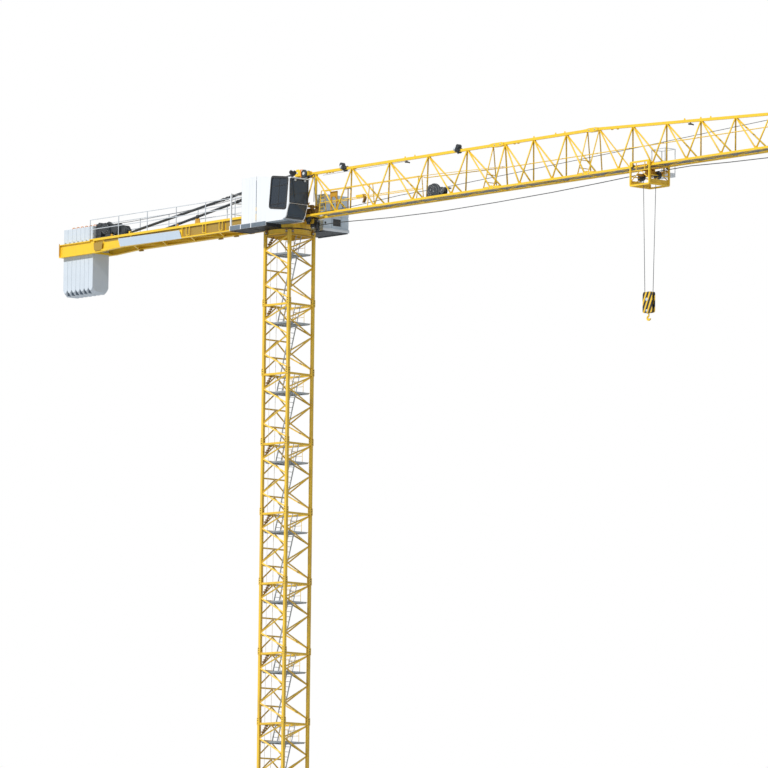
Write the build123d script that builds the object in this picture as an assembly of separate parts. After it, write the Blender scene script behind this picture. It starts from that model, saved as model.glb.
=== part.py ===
"""Flat-top tower crane, modelled at half its real size (millimetres).

The frame: +X along the jib, +Z up, the origin on the ground under the mast's axis.
The jib is at rest along +X, and the mast below it stands turned a few degrees from it.
"""
import os
from math import cos, pi, sqrt

from build123d import *

# Mast
section_height = 2070
section_count = 13
mast_spacing = 1011
mast_turn = 5.05
chord_width = 82
ring_beam_width = 60
lacing_radius = 26
lacing_sides = 3
near_node_shares = [0.03, 0.46, 0.94]
far_node_shares = [0.217, 0.713]

# Rest platforms and ladders in the mast
platform_drop = 555
platform_thickness = 16
platform_gap = 0.3
hatch_length = 330
hatch_width = 300
hatch_edge = 60
ladder_width = 210
ladder_rail = 26
ladder_lean = 600

# Cross base
base_height = 600
base_reach = 1750
base_beam_width = 180
base_beam_height = 260
base_stub_width = 120
base_strut_width = 90
base_foot_size = 420
base_foot_thickness = 40

# Slewing gear
ring_support_height = 125
ring_support_radius = 650
ring_support_bore = 430
ring_sides = 24
corner_bracket_size = 150
corner_bracket_height = 120
corner_bracket_seat = 60
bearing_radius = 600
bearing_bore = 440
bearing_height = 40
race_gap = 0.3
turntable_radius = 640
turntable_height = 111
side_beam_width = 110
side_beam_depth = 240
crosshead_length = 130
crosshead_height = 470
drive_radius = 75
drive_height = 260
drive_flange_radius = 100
drive_flange_height = 36
drive_spread = 170

# Jib
jib_chord_rise = 462
jib_depth = 1292
jib_half_width = 275
jib_chord_width = 62
jib_top_chord_width = 78
jib_bar_width = 30
jib_cross_width = 24
jib_root_x = 880
jib_root_node = 50
root_post_offset = 86
root_apex_x = 1109
long_bay = 1710
long_bay_count = 5
long_node_offset = 1336
joint_apex_x = 9590
short_apex_x = 10800
short_bay = 1385
short_bay_count = 10
short_node_back = 290
first_joint_x = 9340
joint_node_inset = 60
rail_width = 30
rail_thickness = 12
middle_bay_count = 2
level_bay_count = 2
taper_share = 0.0476
jib_tip_overhang = 520
coupling_length = 600
coupling_back = 80
coupling_cheek = 20
coupling_plate = 24

# Lamps clamped on the top chord
lamp_xs = [2440, 7620]
lamp_radius = 68
lamp_length = 120
lamp_clamp_length = 110
lamp_clamp_thickness = 20

# Head
head_x = 600
head_rear_x = -420
head_front_x = 330
head_half_width = 150
head_leg_width = 90
head_beam_width = 80
head_beam_height = 120
head_lug_thickness = 30
head_lug_radius = 92
head_pin_radius = 30
head_pin_rise = 35
head_sheave_x = 830
head_sheave_radius = 112
head_sheave_width = 50
sheave_pin_radius = 18
guide_sheave_x = 1120
guide_sheave_radius = 100
guide_rope_rise = 190
guide_cheek_thickness = 20

# Counter-jib
counter_end_x = -10580
counter_step_x = -9072
counter_rise_x = -8758
counter_level_x = -7554
counter_root_x = -620
girder_y = 382
girder_width = 115
girder_web = 20
girder_flange = 26
front_top_rise = 705
front_low_rise = 325
rear_top_rise = 666
rear_low_rise = 265
cross_bar_width = 60
end_bar_width = 40
counter_brace_width = 36
counter_brace_x = -1476
counter_brace_pitch = 1375
counter_brace_count = 5
deck_thickness = 14
deck_seat = 6
handrail_height = 595
handrail_bar = 20
handrail_post_pitch = 1400
handrail_inset = 16
tie_x = -7020
tie_radius = 34
tie_lug_length = 160
tie_lug_height = 74
tie_lug_thickness = 40
panel_rear_x = -7644
panel_length = 2968
panel_height = 258
panel_drop_share = 0.009
panel_lean = 115
panel_top_rise = 594
panel_thickness = 10

# Counterweights
plate_count = 7
plate_start_x = -9042
plate_pitch = 209
plate_gap = 8
plate_half_width = 313
plate_height = 2080
plate_top_rise = 1130
plate_corner = 110
plate_bevel = 60
plate_hanger_radius = 30
plate_hanger_reach = 70

# Hoist winch
hoist_x = -8400
hoist_drum_radius = 165
hoist_drum_length = 400
hoist_flange_radius = 220
hoist_flange_thickness = 18
hoist_axle_radius = 34
hoist_bed_height = 50
hoist_bed_length = 560
hoist_cheek_thickness = 30
hoist_cheek_share = 0.6
hoist_motor_radius = 125
hoist_motor_length = 330
hoist_motor_gap = 90
hoist_fin_radius = 145
hoist_fin_thickness = 22
hoist_fin_count = 3
hoist_box_x = -9000
hoist_box_length = 240
hoist_box_width = 460
hoist_box_height = 470
axle_clearance = 0.05
drum_side_gap = 6

# Cab
cab_near_y = -1150
cab_width = 740
cab_rear_x = -174
cab_length = 1512
cab_height = 1364
cab_front_lean = 16
cab_chin = 165
cab_mid_rise = 430
cab_brow_drop = 162
cab_chin_radius = 130
cab_wall = 30
cab_visor_reach = 60
cab_visor_thickness = 34
window_rear = 598
window_length = 760
window_height = 910
window_rise = 375
window_lean = 97
window_slope = 100
window_corner = 50
cab_glass_thickness = 8
cab_door_width = 420
cab_door_height = 1060
front_glass_margin = 40

# Cab platform and board
cab_platform_rear_x = -1400
cab_platform_front_x = 1060
cab_platform_thickness = 40
cab_frame_depth = 104
cab_frame_gap = 5
fascia_front_x = 280
fascia_height = 117
fascia_drop = 16
fascia_thickness = 14
board_rear_x = -864
board_gap = 16
board_thickness = 24
end_post_width = 44
end_post_height = 970
end_rail_shares = [0.36, 0.7, 0.98]

# Service platform and cabinets on the far side
service_rear_x = -650
service_front_x = 700
service_inner_y = 712
service_outer_y = 1720
service_thickness = 100
service_arm_width = 80
service_arm_length = 150
service_arm_shares = [0.2, 0.6]
cabinet_depth = 340
cabinet_height = 985
cabinet_inset = 10
cabinet_split_shares = [0.34, 0.7]
cabinet_gap = 16

# Walkway and trolley winch in the jib
walkway_start_x = 1500
walkway_end_x = 5900
walkway_half_width = 150
floor_half_width = 195
floor_thickness = 16
walkway_top_rise = 713
walkway_top_half = 60
walkway_mid_share = 0.5
trolley_winch_x = 6850
trolley_winch_length = 620
trolley_drum_radius = 95
trolley_drum_length = 200
trolley_flange_radius = 125
trolley_flange_thickness = 12
trolley_axle_radius = 20
trolley_bed_thickness = 30
trolley_cheek_thickness = 24
trolley_cheek_share = 0.7
trolley_motor_radius = 70
trolley_motor_length = 190
trolley_motor_lift = 20

# Trolley
trolley_x = 15655
trolley_half_length = 385
trolley_half_width = 372
trolley_bar = 46
trolley_bottom_drop = 540
trolley_top_rise = 110
roller_radius = 40
roller_length = 24
roller_clearance = 0.3
roller_axle_radius = 16
sheave_x = 366
sheave_radius = 110
sheave_width = 44
sheave_groove = 10
groove_width = 24
sheave_drop = 285
basket_back = 365
basket_length = 560
basket_inner_y = 400
basket_width = 400
basket_low_drop = 237
basket_height = 800
basket_tray = 110
basket_wall = 10
basket_post = 18
basket_mid_share = 0.55

# Hoist rope and hook
rope_radius = 9
fall_length = 3240
block_half_length = 225
block_half_width = 110
block_height = 590
block_cheek = 26
block_foot = 90
block_shoulder = 120
block_sheave_radius = 162
hook_gap = 90
hook_radius = 56
hook_thickness = 20
hook_shank_radius = 20
hook_shift = 10
hook_mouth_drop = 25

# Facets of round pieces
wheel_sides = 12
pin_sides = 8

# Derived levels and stations
overrun = 20
mast_half = mast_spacing / 2
mast_top_z = base_height + section_height * section_count
bearing_low_z = mast_top_z + ring_support_height
turntable_low_z = bearing_low_z + bearing_height + race_gap
turntable_top_z = turntable_low_z + turntable_height
jib_low_z = mast_top_z + jib_chord_rise
jib_high_z = jib_low_z + jib_depth
chord_top_z = jib_low_z + jib_chord_width / 2
chord_low_z = jib_low_z - jib_chord_width / 2
deck_z = mast_top_z + front_top_rise
cab_floor_z = turntable_top_z + cab_platform_thickness
cab_far_y = cab_near_y + cab_width
side_beam_y = jib_half_width + side_beam_width / 2
taper_x = short_apex_x + level_bay_count * short_bay


def bar(start, end, width, height=None):
    """A rectangular bar between two points, its sides square to the vertical plane it lies in."""
    start = Vector(*start)
    end = Vector(*end)
    along = (end - start).normalized()
    across = Vector(0, 0, 1).cross(along)
    if across.length < 1e-6:
        across = Vector(1, 0, 0)
    plane = Plane(origin=start, x_dir=across, z_dir=along)
    return extrude(plane * Rectangle(width, height or width), amount=(end - start).length)


def rod(start, end, radius, sides=0):
    """A round rod between two points, or one of few sides."""
    start = Vector(*start)
    end = Vector(*end)
    along = end - start
    plane = Plane(origin=start, z_dir=along)
    outline = RegularPolygon(radius, sides) if sides else Circle(radius)
    return extrude(plane * outline, amount=along.length)


def block(low, high):
    """A box between two opposite corners."""
    size = [abs(b - a) for a, b in zip(low, high)]
    centre = [(a + b) / 2 for a, b in zip(low, high)]
    return Pos(*centre) * Box(*size)


def slab(outline, start_y, end_y):
    """A flat piece from points in X and Z, or a face there, between two stations across."""
    face = make_face(Polyline(*outline, close=True)) if isinstance(outline, list) else outline
    plane = Plane(origin=(0, end_y, 0), x_dir=(1, 0, 0), z_dir=(0, -1, 0))
    return extrude(plane * face, amount=end_y - start_y)


def fused(pieces):
    """One solid from pieces that cross."""
    return pieces[0].fuse(*pieces[1:])


def group(pieces):
    """Solids that don't touch, kept in one sub-part."""
    solids = []
    for piece in pieces:
        solids.extend(piece.solids())
    return Compound(solids)


def on_mast(shape):
    """Turns a piece of the mast from the jib's direction to its own."""
    return Rot(0, 0, mast_turn) * shape


# Mast

corners = [(1, -1), (1, 1), (-1, 1), (-1, -1)]


def corner(index, z):
    x_sign, y_sign = corners[index % len(corners)]
    return (x_sign * mast_half, y_sign * mast_half, z)


def mast_section(low_z):
    """One section: four chords, a ring beam and three laced faces."""
    pieces = []
    high_z = low_z + section_height
    ring_z = high_z - ring_beam_width / 2
    for index in range(len(corners)):
        pieces.append(bar(corner(index, low_z), corner(index, high_z), chord_width))
        pieces.append(bar(corner(index, ring_z), corner(index + 1, ring_z), ring_beam_width))
    for near_corner, far_corner in ((1, 0), (1, 2), (0, 3)):
        near = [(share, near_corner) for share in near_node_shares]
        stations = sorted(near + [(share, far_corner) for share in far_node_shares])
        points = [corner(side, high_z - share * section_height) for share, side in stations]
        for start, end in zip(points, points[1:]):
            pieces.append(rod(start, end, lacing_radius, lacing_sides))
    return fused(pieces)


platform_half = mast_half - chord_width / 2 - platform_gap
hatch_x = platform_half - hatch_edge - hatch_length / 2


def rest_platform(z):
    """A floor with a hatch, its top at the given height."""
    low = (-platform_half, -platform_half, z - platform_thickness)
    plate = block(low, (platform_half, platform_half, z))
    hatch = Pos(hatch_x, 0, z) * Box(hatch_length, hatch_width, platform_thickness * 3)
    return plate - hatch


def ladder(low_z, high_z):
    """The two rails of a leaning ladder, from one platform through the hatch of the next."""
    rise = high_z - low_z
    shift = ladder_lean * overrun / rise
    rails = []
    for side in (-1, 1):
        y = side * ladder_width / 2
        foot = (hatch_x - ladder_lean - shift, y, low_z - overrun)
        head = (hatch_x + shift, y, high_z + overrun)
        rails.append(bar(foot, head, ladder_rail))
    window = block((-platform_half, -platform_half, low_z), (platform_half, platform_half, high_z))
    return group([rail & window for rail in rails])


def base_frame():
    """Two crossed beams on feet, with stubs and struts that take the first section."""
    pieces = []
    beam_z = base_foot_thickness + base_beam_height / 2
    reach = base_reach / sqrt(2)
    foot_along = (base_reach - base_foot_size / 2) / sqrt(2)
    for x_sign, y_sign in corners[:2]:
        end = (x_sign * reach, y_sign * reach, beam_z)
        start = (-x_sign * reach, -y_sign * reach, beam_z)
        pieces.append(bar(start, end, base_beam_width, base_beam_height))
    pad_z = base_foot_thickness / 2
    pieces.append(Pos(0, 0, pad_z) * Box(base_foot_size, base_foot_size, base_foot_thickness))
    for x_sign, y_sign in corners:
        foot = (x_sign * foot_along, y_sign * foot_along, base_foot_thickness / 2)
        pieces.append(Pos(*foot) * Rot(0, 0, 45) * Box(base_foot_size, base_foot_size, base_foot_thickness))
        stub = (x_sign * mast_half, y_sign * mast_half, beam_z)
        pieces.append(bar(stub, (stub[0], stub[1], base_height), base_stub_width))
        strut_end = (stub[0], stub[1], base_height - base_strut_width)
        pieces.append(bar((foot[0], foot[1], beam_z), strut_end, base_strut_width))
    return fused(pieces)


def ring_support():
    """The fixed collar on the last section, with a bracket at each corner, that carries the bearing."""
    plane = Plane.XY.offset(mast_top_z)
    collar = plane * RegularPolygon(ring_support_radius, ring_sides)
    pieces = [extrude(collar, amount=ring_support_height)]
    inner = ring_support_radius / sqrt(2) - corner_bracket_seat
    outer = mast_half + corner_bracket_size / 2
    for x_sign, y_sign in corners:
        low = (x_sign * inner, y_sign * inner, mast_top_z)
        pieces.append(block(low, (x_sign * outer, y_sign * outer, mast_top_z + corner_bracket_height)))
    bore = extrude(plane * RegularPolygon(ring_support_bore, wheel_sides), amount=ring_support_height)
    return fused(pieces) - bore


def slewing_bearing():
    ring = RegularPolygon(bearing_radius, ring_sides) - RegularPolygon(bearing_bore, wheel_sides)
    return extrude(Plane.XY.offset(bearing_low_z) * ring, amount=bearing_height)


# Upper works

def turntable():
    """The turning plate, its two side beams and the crosshead that takes the counter-jib."""
    plane = Plane.XY.offset(turntable_low_z)
    plate = extrude(plane * RegularPolygon(turntable_radius, ring_sides), amount=turntable_height)
    pieces = [plate]
    rear_x = counter_root_x + crosshead_length
    for side in (-1, 1):
        y = side * jib_half_width
        low = (counter_root_x, y - side_beam_width / 2, turntable_top_z)
        high = (jib_root_x, y + side_beam_width / 2, turntable_top_z + side_beam_depth)
        pieces.append(block(low, high))
    half = girder_y + girder_width / 2
    low = (counter_root_x, -half, turntable_top_z + cab_platform_thickness)
    pieces.append(block(low, (rear_x, half, turntable_top_z + crosshead_height)))
    front_x = turntable_radius
    low = (front_x - side_beam_width, -jib_half_width, turntable_top_z)
    pieces.append(block(low, (front_x, jib_half_width, turntable_top_z + side_beam_depth / 2)))
    return fused(pieces) - extrude(plane * RegularPolygon(bearing_bore, wheel_sides), amount=turntable_height)


def slewing_drives():
    """Two geared motors that stand on the turning plate beside the far side beam."""
    drives = []
    radius = (turntable_radius + bearing_bore) / 2
    y = sqrt(radius ** 2 - drive_spread ** 2)
    for x in (-drive_spread, drive_spread):
        foot = (x, y, turntable_top_z)
        flange_top = (x, y, turntable_top_z + drive_flange_height)
        flange = rod(foot, flange_top, drive_flange_radius, wheel_sides)
        body = rod(foot, (x, y, turntable_top_z + drive_height), drive_radius, wheel_sides)
        drives.append(flange + body)
    return group(drives)


head_low_z = turntable_top_z + side_beam_depth
head_pin_z = jib_high_z + head_pin_rise
apex_start_x = head_sheave_x + head_sheave_radius + guide_cheek_thickness + head_leg_width


def head_frame():
    """The head: four legs, a twin beam that meets the top chord, and the lugs for the ties."""
    pieces = []
    for side in (-1, 1):
        foot_y = side * jib_half_width
        top_y = side * head_half_width
        for x in (head_rear_x, head_front_x):
            foot = (x, foot_y, head_low_z - head_leg_width)
            pieces.append(bar(foot, (head_x, top_y, jib_high_z), head_leg_width))
        low = (head_x - head_lug_radius, top_y - head_beam_width / 2, jib_high_z - head_beam_height / 2)
        high = (apex_start_x, top_y + head_beam_width / 2, jib_high_z + head_beam_height / 2)
        pieces.append(block(low, high))
        lug_y = top_y + side * (head_beam_width / 2 + head_lug_thickness)
        pin_y = lug_y + side * head_lug_thickness
        centre = (head_x, top_y, head_pin_z)
        pieces.append(rod(centre, (head_x, lug_y, head_pin_z), head_lug_radius, wheel_sides))
        pieces.append(rod(centre, (head_x, pin_y, head_pin_z), head_pin_radius, pin_sides))
    for x in (head_x, apex_start_x - head_leg_width / 2):
        ends = [(x, side * head_half_width, jib_high_z) for side in (-1, 1)]
        pieces.append(bar(*ends, head_leg_width))
    ends = [(head_sheave_x, side * head_half_width, jib_high_z) for side in (-1, 1)]
    pieces.append(rod(*ends, sheave_pin_radius, pin_sides))
    feet = block(
        (2 * head_rear_x, -2 * jib_half_width, head_low_z - 2 * head_leg_width),
        (2 * head_front_x, 2 * jib_half_width, head_low_z))
    return fused(pieces) - feet


def spool(x, z, radii, stations):
    """Discs in a row on one axis across the jib, each with its own radius."""
    discs = []
    for radius, start, end in zip(radii, stations, stations[1:]):
        discs.append(rod((x, start, z), (x, end, z), radius, wheel_sides))
    return fused(discs)


def grooved_wheel(x, z, radius, width, bore):
    """A rope wheel: two flanges with the floor of the groove between them."""
    half = width / 2
    groove = groove_width / 2
    wheel = spool(x, z, (radius, radius - sheave_groove, radius), (-half, -groove, groove, half))
    return wheel - rod((x, -half, z), (x, half, z), bore, pin_sides)


guide_sheave_z = mast_top_z + guide_rope_rise + guide_sheave_radius


def rope_guides():
    """The rope wheel in the head and the one under the jib's root."""
    head = grooved_wheel(head_sheave_x, jib_high_z, head_sheave_radius, head_sheave_width, sheave_pin_radius)
    guide = grooved_wheel(
        guide_sheave_x, guide_sheave_z, guide_sheave_radius, head_sheave_width, sheave_pin_radius)
    return group([head, guide])


def guide_bracket():
    """Two cheeks from the turntable's front that carry the lower rope wheel."""
    pieces = []
    rear_x = turntable_radius
    reach = guide_sheave_x + 2 * sheave_pin_radius
    high_z = turntable_top_z + side_beam_depth / 2
    for side in (-1, 1):
        y = side * (head_sheave_width + guide_cheek_thickness) / 2
        outline = [
            (rear_x, turntable_top_z), (guide_sheave_x, guide_sheave_z - 2 * sheave_pin_radius),
            (reach, guide_sheave_z), (reach, high_z), (rear_x, high_z)]
        pieces.append(slab(outline, y - guide_cheek_thickness / 2, y + guide_cheek_thickness / 2))
    half = head_sheave_width / 2 + guide_cheek_thickness
    pin_z = guide_sheave_z
    ends = [(guide_sheave_x, side * half, pin_z) for side in (-1, 1)]
    pieces.append(rod(*ends, sheave_pin_radius, pin_sides))
    return fused(pieces)


def top_z(x):
    """The height of the top chord's axis at a station."""
    return jib_high_z - max(0, x - taper_x) * taper_share


apexes = [root_apex_x + i * long_bay for i in range(long_bay_count)]
nodes = [x + long_node_offset for x in apexes]
short_apexes = [short_apex_x + i * short_bay for i in range(short_bay_count + 1)]
short_nodes = [x - short_node_back for x in short_apexes]
second_joint_x = short_nodes[middle_bay_count] + joint_node_inset
jib_end_x = short_apexes[-1] + jib_tip_overhang
root_nodes = [jib_root_x + jib_root_node] + nodes
middle_nodes = [first_joint_x + joint_node_inset] + short_nodes[:middle_bay_count + 1]
outer_nodes = [second_joint_x + joint_node_inset] + short_nodes[middle_bay_count + 1:]


def jib_section(start_x, end_x, section_apexes, section_nodes, chord_start_x=None):
    """One length of the jib: three chords, laced sides and a braced bottom."""
    pieces = []
    middle = [taper_x] if start_x < taper_x < end_x else []
    stations = [chord_start_x or start_x] + middle + [end_x]
    for a, b in zip(stations, stations[1:]):
        pieces.append(bar((a, 0, top_z(a)), (b, 0, top_z(b)), jib_top_chord_width))
    for side in (-1, 1):
        y = side * jib_half_width
        outer = y + side * jib_chord_width / 2
        pieces.append(bar((start_x, y, jib_low_z), (end_x, y, jib_low_z), jib_chord_width))
        rail_end = (end_x, outer + side * rail_width, chord_low_z + rail_thickness)
        pieces.append(block((start_x, outer, chord_low_z), rail_end))
        low_points = [(x, y, jib_low_z) for x in section_nodes]
        points = sorted([(x, 0, top_z(x)) for x in section_apexes] + low_points)
        for a, b in zip(points, points[1:]):
            pieces.append(bar(a, b, jib_bar_width))
    crossing = [(x, jib_half_width * (-1) ** i, jib_low_z) for i, x in enumerate(section_nodes)]
    end = section_nodes[-1]
    pieces.append(bar((end, -jib_half_width, jib_low_z), (end, jib_half_width, jib_low_z), jib_cross_width))
    for a, b in zip(crossing, crossing[1:]):
        pieces.append(bar(a, b, jib_cross_width))
    return fused(pieces)


def jib_root():
    """The first length, with the upright post and the cross bar at its root."""
    lattice = jib_section(jib_root_x, first_joint_x, apexes, root_nodes, apex_start_x)
    post_x = root_apex_x + root_post_offset
    post = bar((post_x, 0, jib_low_z), (post_x, 0, jib_high_z), jib_bar_width)
    foot = bar((post_x, -jib_half_width, jib_low_z), (post_x, jib_half_width, jib_low_z), jib_bar_width)
    return fused([lattice, post, foot])


def jib_couplings(lengths):
    """The sleeves on the top chord and the plates on the bottom chords where lengths of the jib meet."""
    pieces = []
    half = coupling_length / 2
    chord_half = jib_top_chord_width / 2
    for x in (first_joint_x, second_joint_x):
        z = top_z(x)
        for side in (-1, 1):
            inner = side * chord_half
            rear_x = x - half - coupling_back
            front_x = rear_x + coupling_length
            low = (rear_x, inner, z - chord_half)
            pieces.append(block(low, (front_x, inner + side * coupling_cheek, z + chord_half)))
            y = side * jib_half_width
            low = (x - half, y - jib_chord_width / 2, chord_top_z)
            pieces.append(block(low, (x + half, y + jib_chord_width / 2, chord_top_z + coupling_plate)))
    return group([piece.cut(*lengths) for piece in pieces])


def jib_lamps():
    """Two round lamps on clamps that sit over the top chord."""
    lamps = []
    for x in lamp_xs:
        base_z = top_z(x) + jib_top_chord_width / 2
        half = lamp_clamp_length / 2
        low = (x - half, -half, base_z)
        clamp = block(low, (x + half, half, base_z + lamp_clamp_thickness))
        z = base_z + lamp_clamp_thickness + lamp_radius - race_gap
        ends = [(x - half, side * lamp_length / 2, z) for side in (-1, 1)]
        housing = rod(*ends, lamp_radius, wheel_sides)
        lamps.append(clamp + housing)
    return group(lamps)


# Counter-jib

def girder(side):
    """A plate girder with flanges, its bottom and top stepped towards the counterweights."""
    y = side * girder_y
    half = girder_width / 2
    top = mast_top_z + front_top_rise
    low = mast_top_z + front_low_rise
    rear_top = mast_top_z + rear_top_rise
    rear_low = mast_top_z + rear_low_rise
    outline = [
        (counter_root_x, low), (counter_root_x, top), (counter_step_x, top),
        (counter_step_x, rear_top), (counter_end_x, rear_top), (counter_end_x, rear_low),
        (counter_rise_x, rear_low), (counter_level_x, low)]
    body = slab(outline, y - half, y + half)
    edge = girder_flange
    web = [
        (counter_root_x - edge, low + edge), (counter_root_x - edge, top - edge),
        (counter_step_x + edge, top - edge), (counter_step_x + edge, rear_top - edge),
        (counter_end_x + edge, rear_top - edge), (counter_end_x + edge, rear_low + edge),
        (counter_rise_x, rear_low + edge), (counter_level_x, low + edge)]
    outer = half + overrun
    inner = girder_web / 2
    return body.cut(slab(web, y + inner, y + outer), slab(web, y - outer, y - inner))


def counter_jib():
    """Two girders, cross bars, a zigzag between them and the lugs that take the ties."""
    pieces = [girder(-1), girder(1)]
    z = mast_top_z + front_low_rise + cross_bar_width / 2
    near = [counter_brace_x - i * counter_brace_pitch for i in range(counter_brace_count)]
    points = []
    for x in near:
        points.extend([(x, -girder_y, z), (x - counter_brace_pitch / 2, girder_y, z)])
    for a, b in zip(points, points[1:]):
        pieces.append(bar(a, b, counter_brace_width))
    rear_z = mast_top_z + rear_low_rise + cross_bar_width / 2
    end_x = counter_end_x + end_bar_width / 2
    step_x = counter_step_x + 2 * cross_bar_width
    for x, level, width in ((counter_root_x - cross_bar_width, z, cross_bar_width),
                            (step_x, rear_z, cross_bar_width), (end_x, rear_z, end_bar_width)):
        pieces.append(bar((x, -girder_y, level), (x, girder_y, level), width, cross_bar_width))
    for side in (-1, 1):
        y = side * girder_y
        half = tie_lug_thickness / 2
        low = (tie_x - tie_lug_length, y - half, deck_z - girder_flange)
        pieces.append(block(low, (tie_x, y + half, deck_z + tie_lug_height)))
    return fused(pieces)


def counter_deck():
    half = girder_y - girder_width / 2 + deck_seat
    rear_x = counter_step_x + cross_bar_width
    return block((rear_x, -half, deck_z), (counter_root_x, half, deck_z + deck_thickness))


def counter_rails():
    """Posts and two rails along the outer edge of each girder's top flange."""
    sides = []
    length = counter_root_x - counter_step_x - 2 * handrail_inset
    count = int(length / handrail_post_pitch)
    for side in (-1, 1):
        y = side * (girder_y + girder_width / 2 - handrail_inset)
        xs = [counter_step_x + handrail_inset + i * handrail_post_pitch for i in range(count + 1)]
        rail = [bar((x, y, deck_z), (x, y, deck_z + handrail_height), handrail_bar) for x in xs]
        for height in (handrail_height / 2, handrail_height):
            rail.append(bar((xs[0], y, deck_z + height), (xs[-1], y, deck_z + height), handrail_bar))
        sides.append(fused(rail))
    return group(sides)


def counter_panel():
    """The plain panel on the near girder, between its flanges' outer faces."""
    y = -girder_y - girder_width / 2
    top = mast_top_z + panel_top_rise
    fall = panel_length * panel_drop_share
    outline = [
        (panel_rear_x, top), (panel_rear_x + panel_length, top - fall),
        (panel_rear_x + panel_length + panel_lean, top - fall - panel_height),
        (panel_rear_x + panel_lean, top - panel_height)]
    return slab(outline, y - panel_thickness, y) + panel_brackets(y)


def panel_brackets(y):
    """Two bars that carry the panel in front of the girder's web."""
    middle_z = mast_top_z + panel_top_rise - panel_height / 2
    inner = -girder_y - girder_web / 2
    bars = []
    for share in (1 / 4, 3 / 4):
        x = panel_rear_x + panel_length * share
        bars.append(bar((x, y, middle_z), (x, inner, middle_z), handrail_bar))
    return fused(bars)


def counterweights():
    """The row of hanging concrete plates, each on a hanger bar across the girders."""
    plates = []
    rest_z = mast_top_z + rear_top_rise
    top = mast_top_z + plate_top_rise
    for index in range(plate_count):
        x = plate_start_x - index * plate_pitch
        low = (x - plate_pitch + plate_gap, -plate_half_width, top - plate_height)
        plate = block(low, (x, plate_half_width, top))
        low_edges = plate.edges().filter_by(Axis.X).group_by(Axis.Z)[0]
        plate = chamfer(low_edges, plate_corner)
        low_edges = plate.edges().filter_by(Axis.X, reverse=True).filter_by_position(
            Axis.Z, top - plate_height, top - plate_height + plate_corner)
        plate = chamfer(low_edges, plate_bevel)
        middle = x - (plate_pitch - plate_gap) / 2
        reach = plate_half_width + plate_hanger_reach
        radius = plate_hanger_radius
        low = (middle - radius, -reach, rest_z)
        plates.append(plate + block(low, (middle + radius, reach, rest_z + 2 * radius)))
    return group(plates)


hoist_bed_z = deck_z + deck_thickness
hoist_half = hoist_drum_length / 2 + hoist_flange_thickness + drum_side_gap
hoist_bed_half = hoist_half + hoist_cheek_thickness
hoist_axle_z = hoist_bed_z + hoist_bed_height + hoist_flange_radius + drum_side_gap
bore_ratio = 1 / cos(pi / ring_sides)


def winch_cheek(x, low_z, axle_z, inner_y, outer_y, half_foot, head_radius):
    """A tapered cheek that rounds off over the axle."""
    outline = Polyline(
        (x - half_foot, low_z), (x + half_foot, low_z), (x + head_radius, axle_z), (x - head_radius, axle_z),
        close=True)
    face = make_face(outline) + Pos(x, axle_z) * RegularPolygon(head_radius, wheel_sides)
    return slab(face, min(inner_y, outer_y), max(inner_y, outer_y))


def hoist_winch_bed():
    low = (hoist_x - hoist_bed_length / 2, -hoist_bed_half, hoist_bed_z)
    high = (hoist_x + hoist_bed_length / 2, hoist_bed_half, hoist_bed_z + hoist_bed_height)
    pieces = [block(low, high)]
    foot = hoist_flange_radius * hoist_cheek_share
    for side in (-1, 1):
        pieces.append(winch_cheek(
            hoist_x, hoist_bed_z, hoist_axle_z, side * hoist_half, side * hoist_bed_half, foot,
            2 * hoist_axle_radius))
    ends = [(hoist_x, side * (hoist_bed_half + overrun), hoist_axle_z) for side in (-1, 1)]
    return fused(pieces) - rod(*ends, (hoist_axle_radius + axle_clearance) * bore_ratio, ring_sides)


def hoist_motor():
    """The motor on its foot with cooling rings, in front of the drum."""
    x = hoist_x + hoist_bed_length / 2 + hoist_motor_gap + hoist_motor_radius
    z = hoist_bed_z + hoist_bed_height + hoist_fin_radius
    half = hoist_motor_length / 2
    pieces = [rod((x, -half, z), (x, half, z), hoist_motor_radius, wheel_sides)]
    pitch = hoist_motor_length / (hoist_fin_count + 1)
    for index in range(hoist_fin_count):
        y = -half + (index + 1) * pitch
        ends = [(x, y - hoist_fin_thickness / 2, z), (x, y + hoist_fin_thickness / 2, z)]
        pieces.append(rod(*ends, hoist_fin_radius, wheel_sides))
    low = (x - hoist_motor_radius, -half, hoist_bed_z)
    pieces.append(block(low, (x + hoist_motor_radius, half, hoist_bed_z + hoist_bed_height * 2)))
    return fused(pieces)


def hoist_box():
    low = (hoist_box_x, -hoist_box_width / 2, hoist_bed_z)
    high = (hoist_box_x + hoist_box_length, hoist_box_width / 2, hoist_bed_z + hoist_box_height)
    return block(low, high)


def drum(x, z, radius, length, flange_radius, flange_thickness, axle_radius, axle_half):
    """A rope drum with flanges and its axle."""
    half = length / 2
    edge = half + flange_thickness
    radii = (axle_radius, flange_radius, radius, flange_radius, axle_radius)
    return spool(x, z, radii, (-axle_half, -edge, -half, half, edge, axle_half))


def counter_ties(lugs):
    """The two straight ties from the counter-jib's lugs to the pins of the head."""
    pieces = []
    for side in (-1, 1):
        start = (tie_x - tie_lug_length / 2, side * girder_y, deck_z + tie_lug_height / 2)
        end_y = side * (head_half_width + head_beam_width / 2 + head_lug_thickness / 2)
        pieces.append(rod(start, (head_x, end_y, head_pin_z), tie_radius, pin_sides))
    return group([tie.cut(*lugs) for tie in pieces])


# Cab

cab_front_x = cab_rear_x + cab_length
cab_chin_x = cab_front_x - cab_chin
cab_mid_x = cab_front_x - cab_front_lean
cab_mid_z = cab_floor_z + cab_mid_rise
cab_roof_z = cab_floor_z + cab_height
cab_brow_z = cab_roof_z - cab_brow_drop


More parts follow.
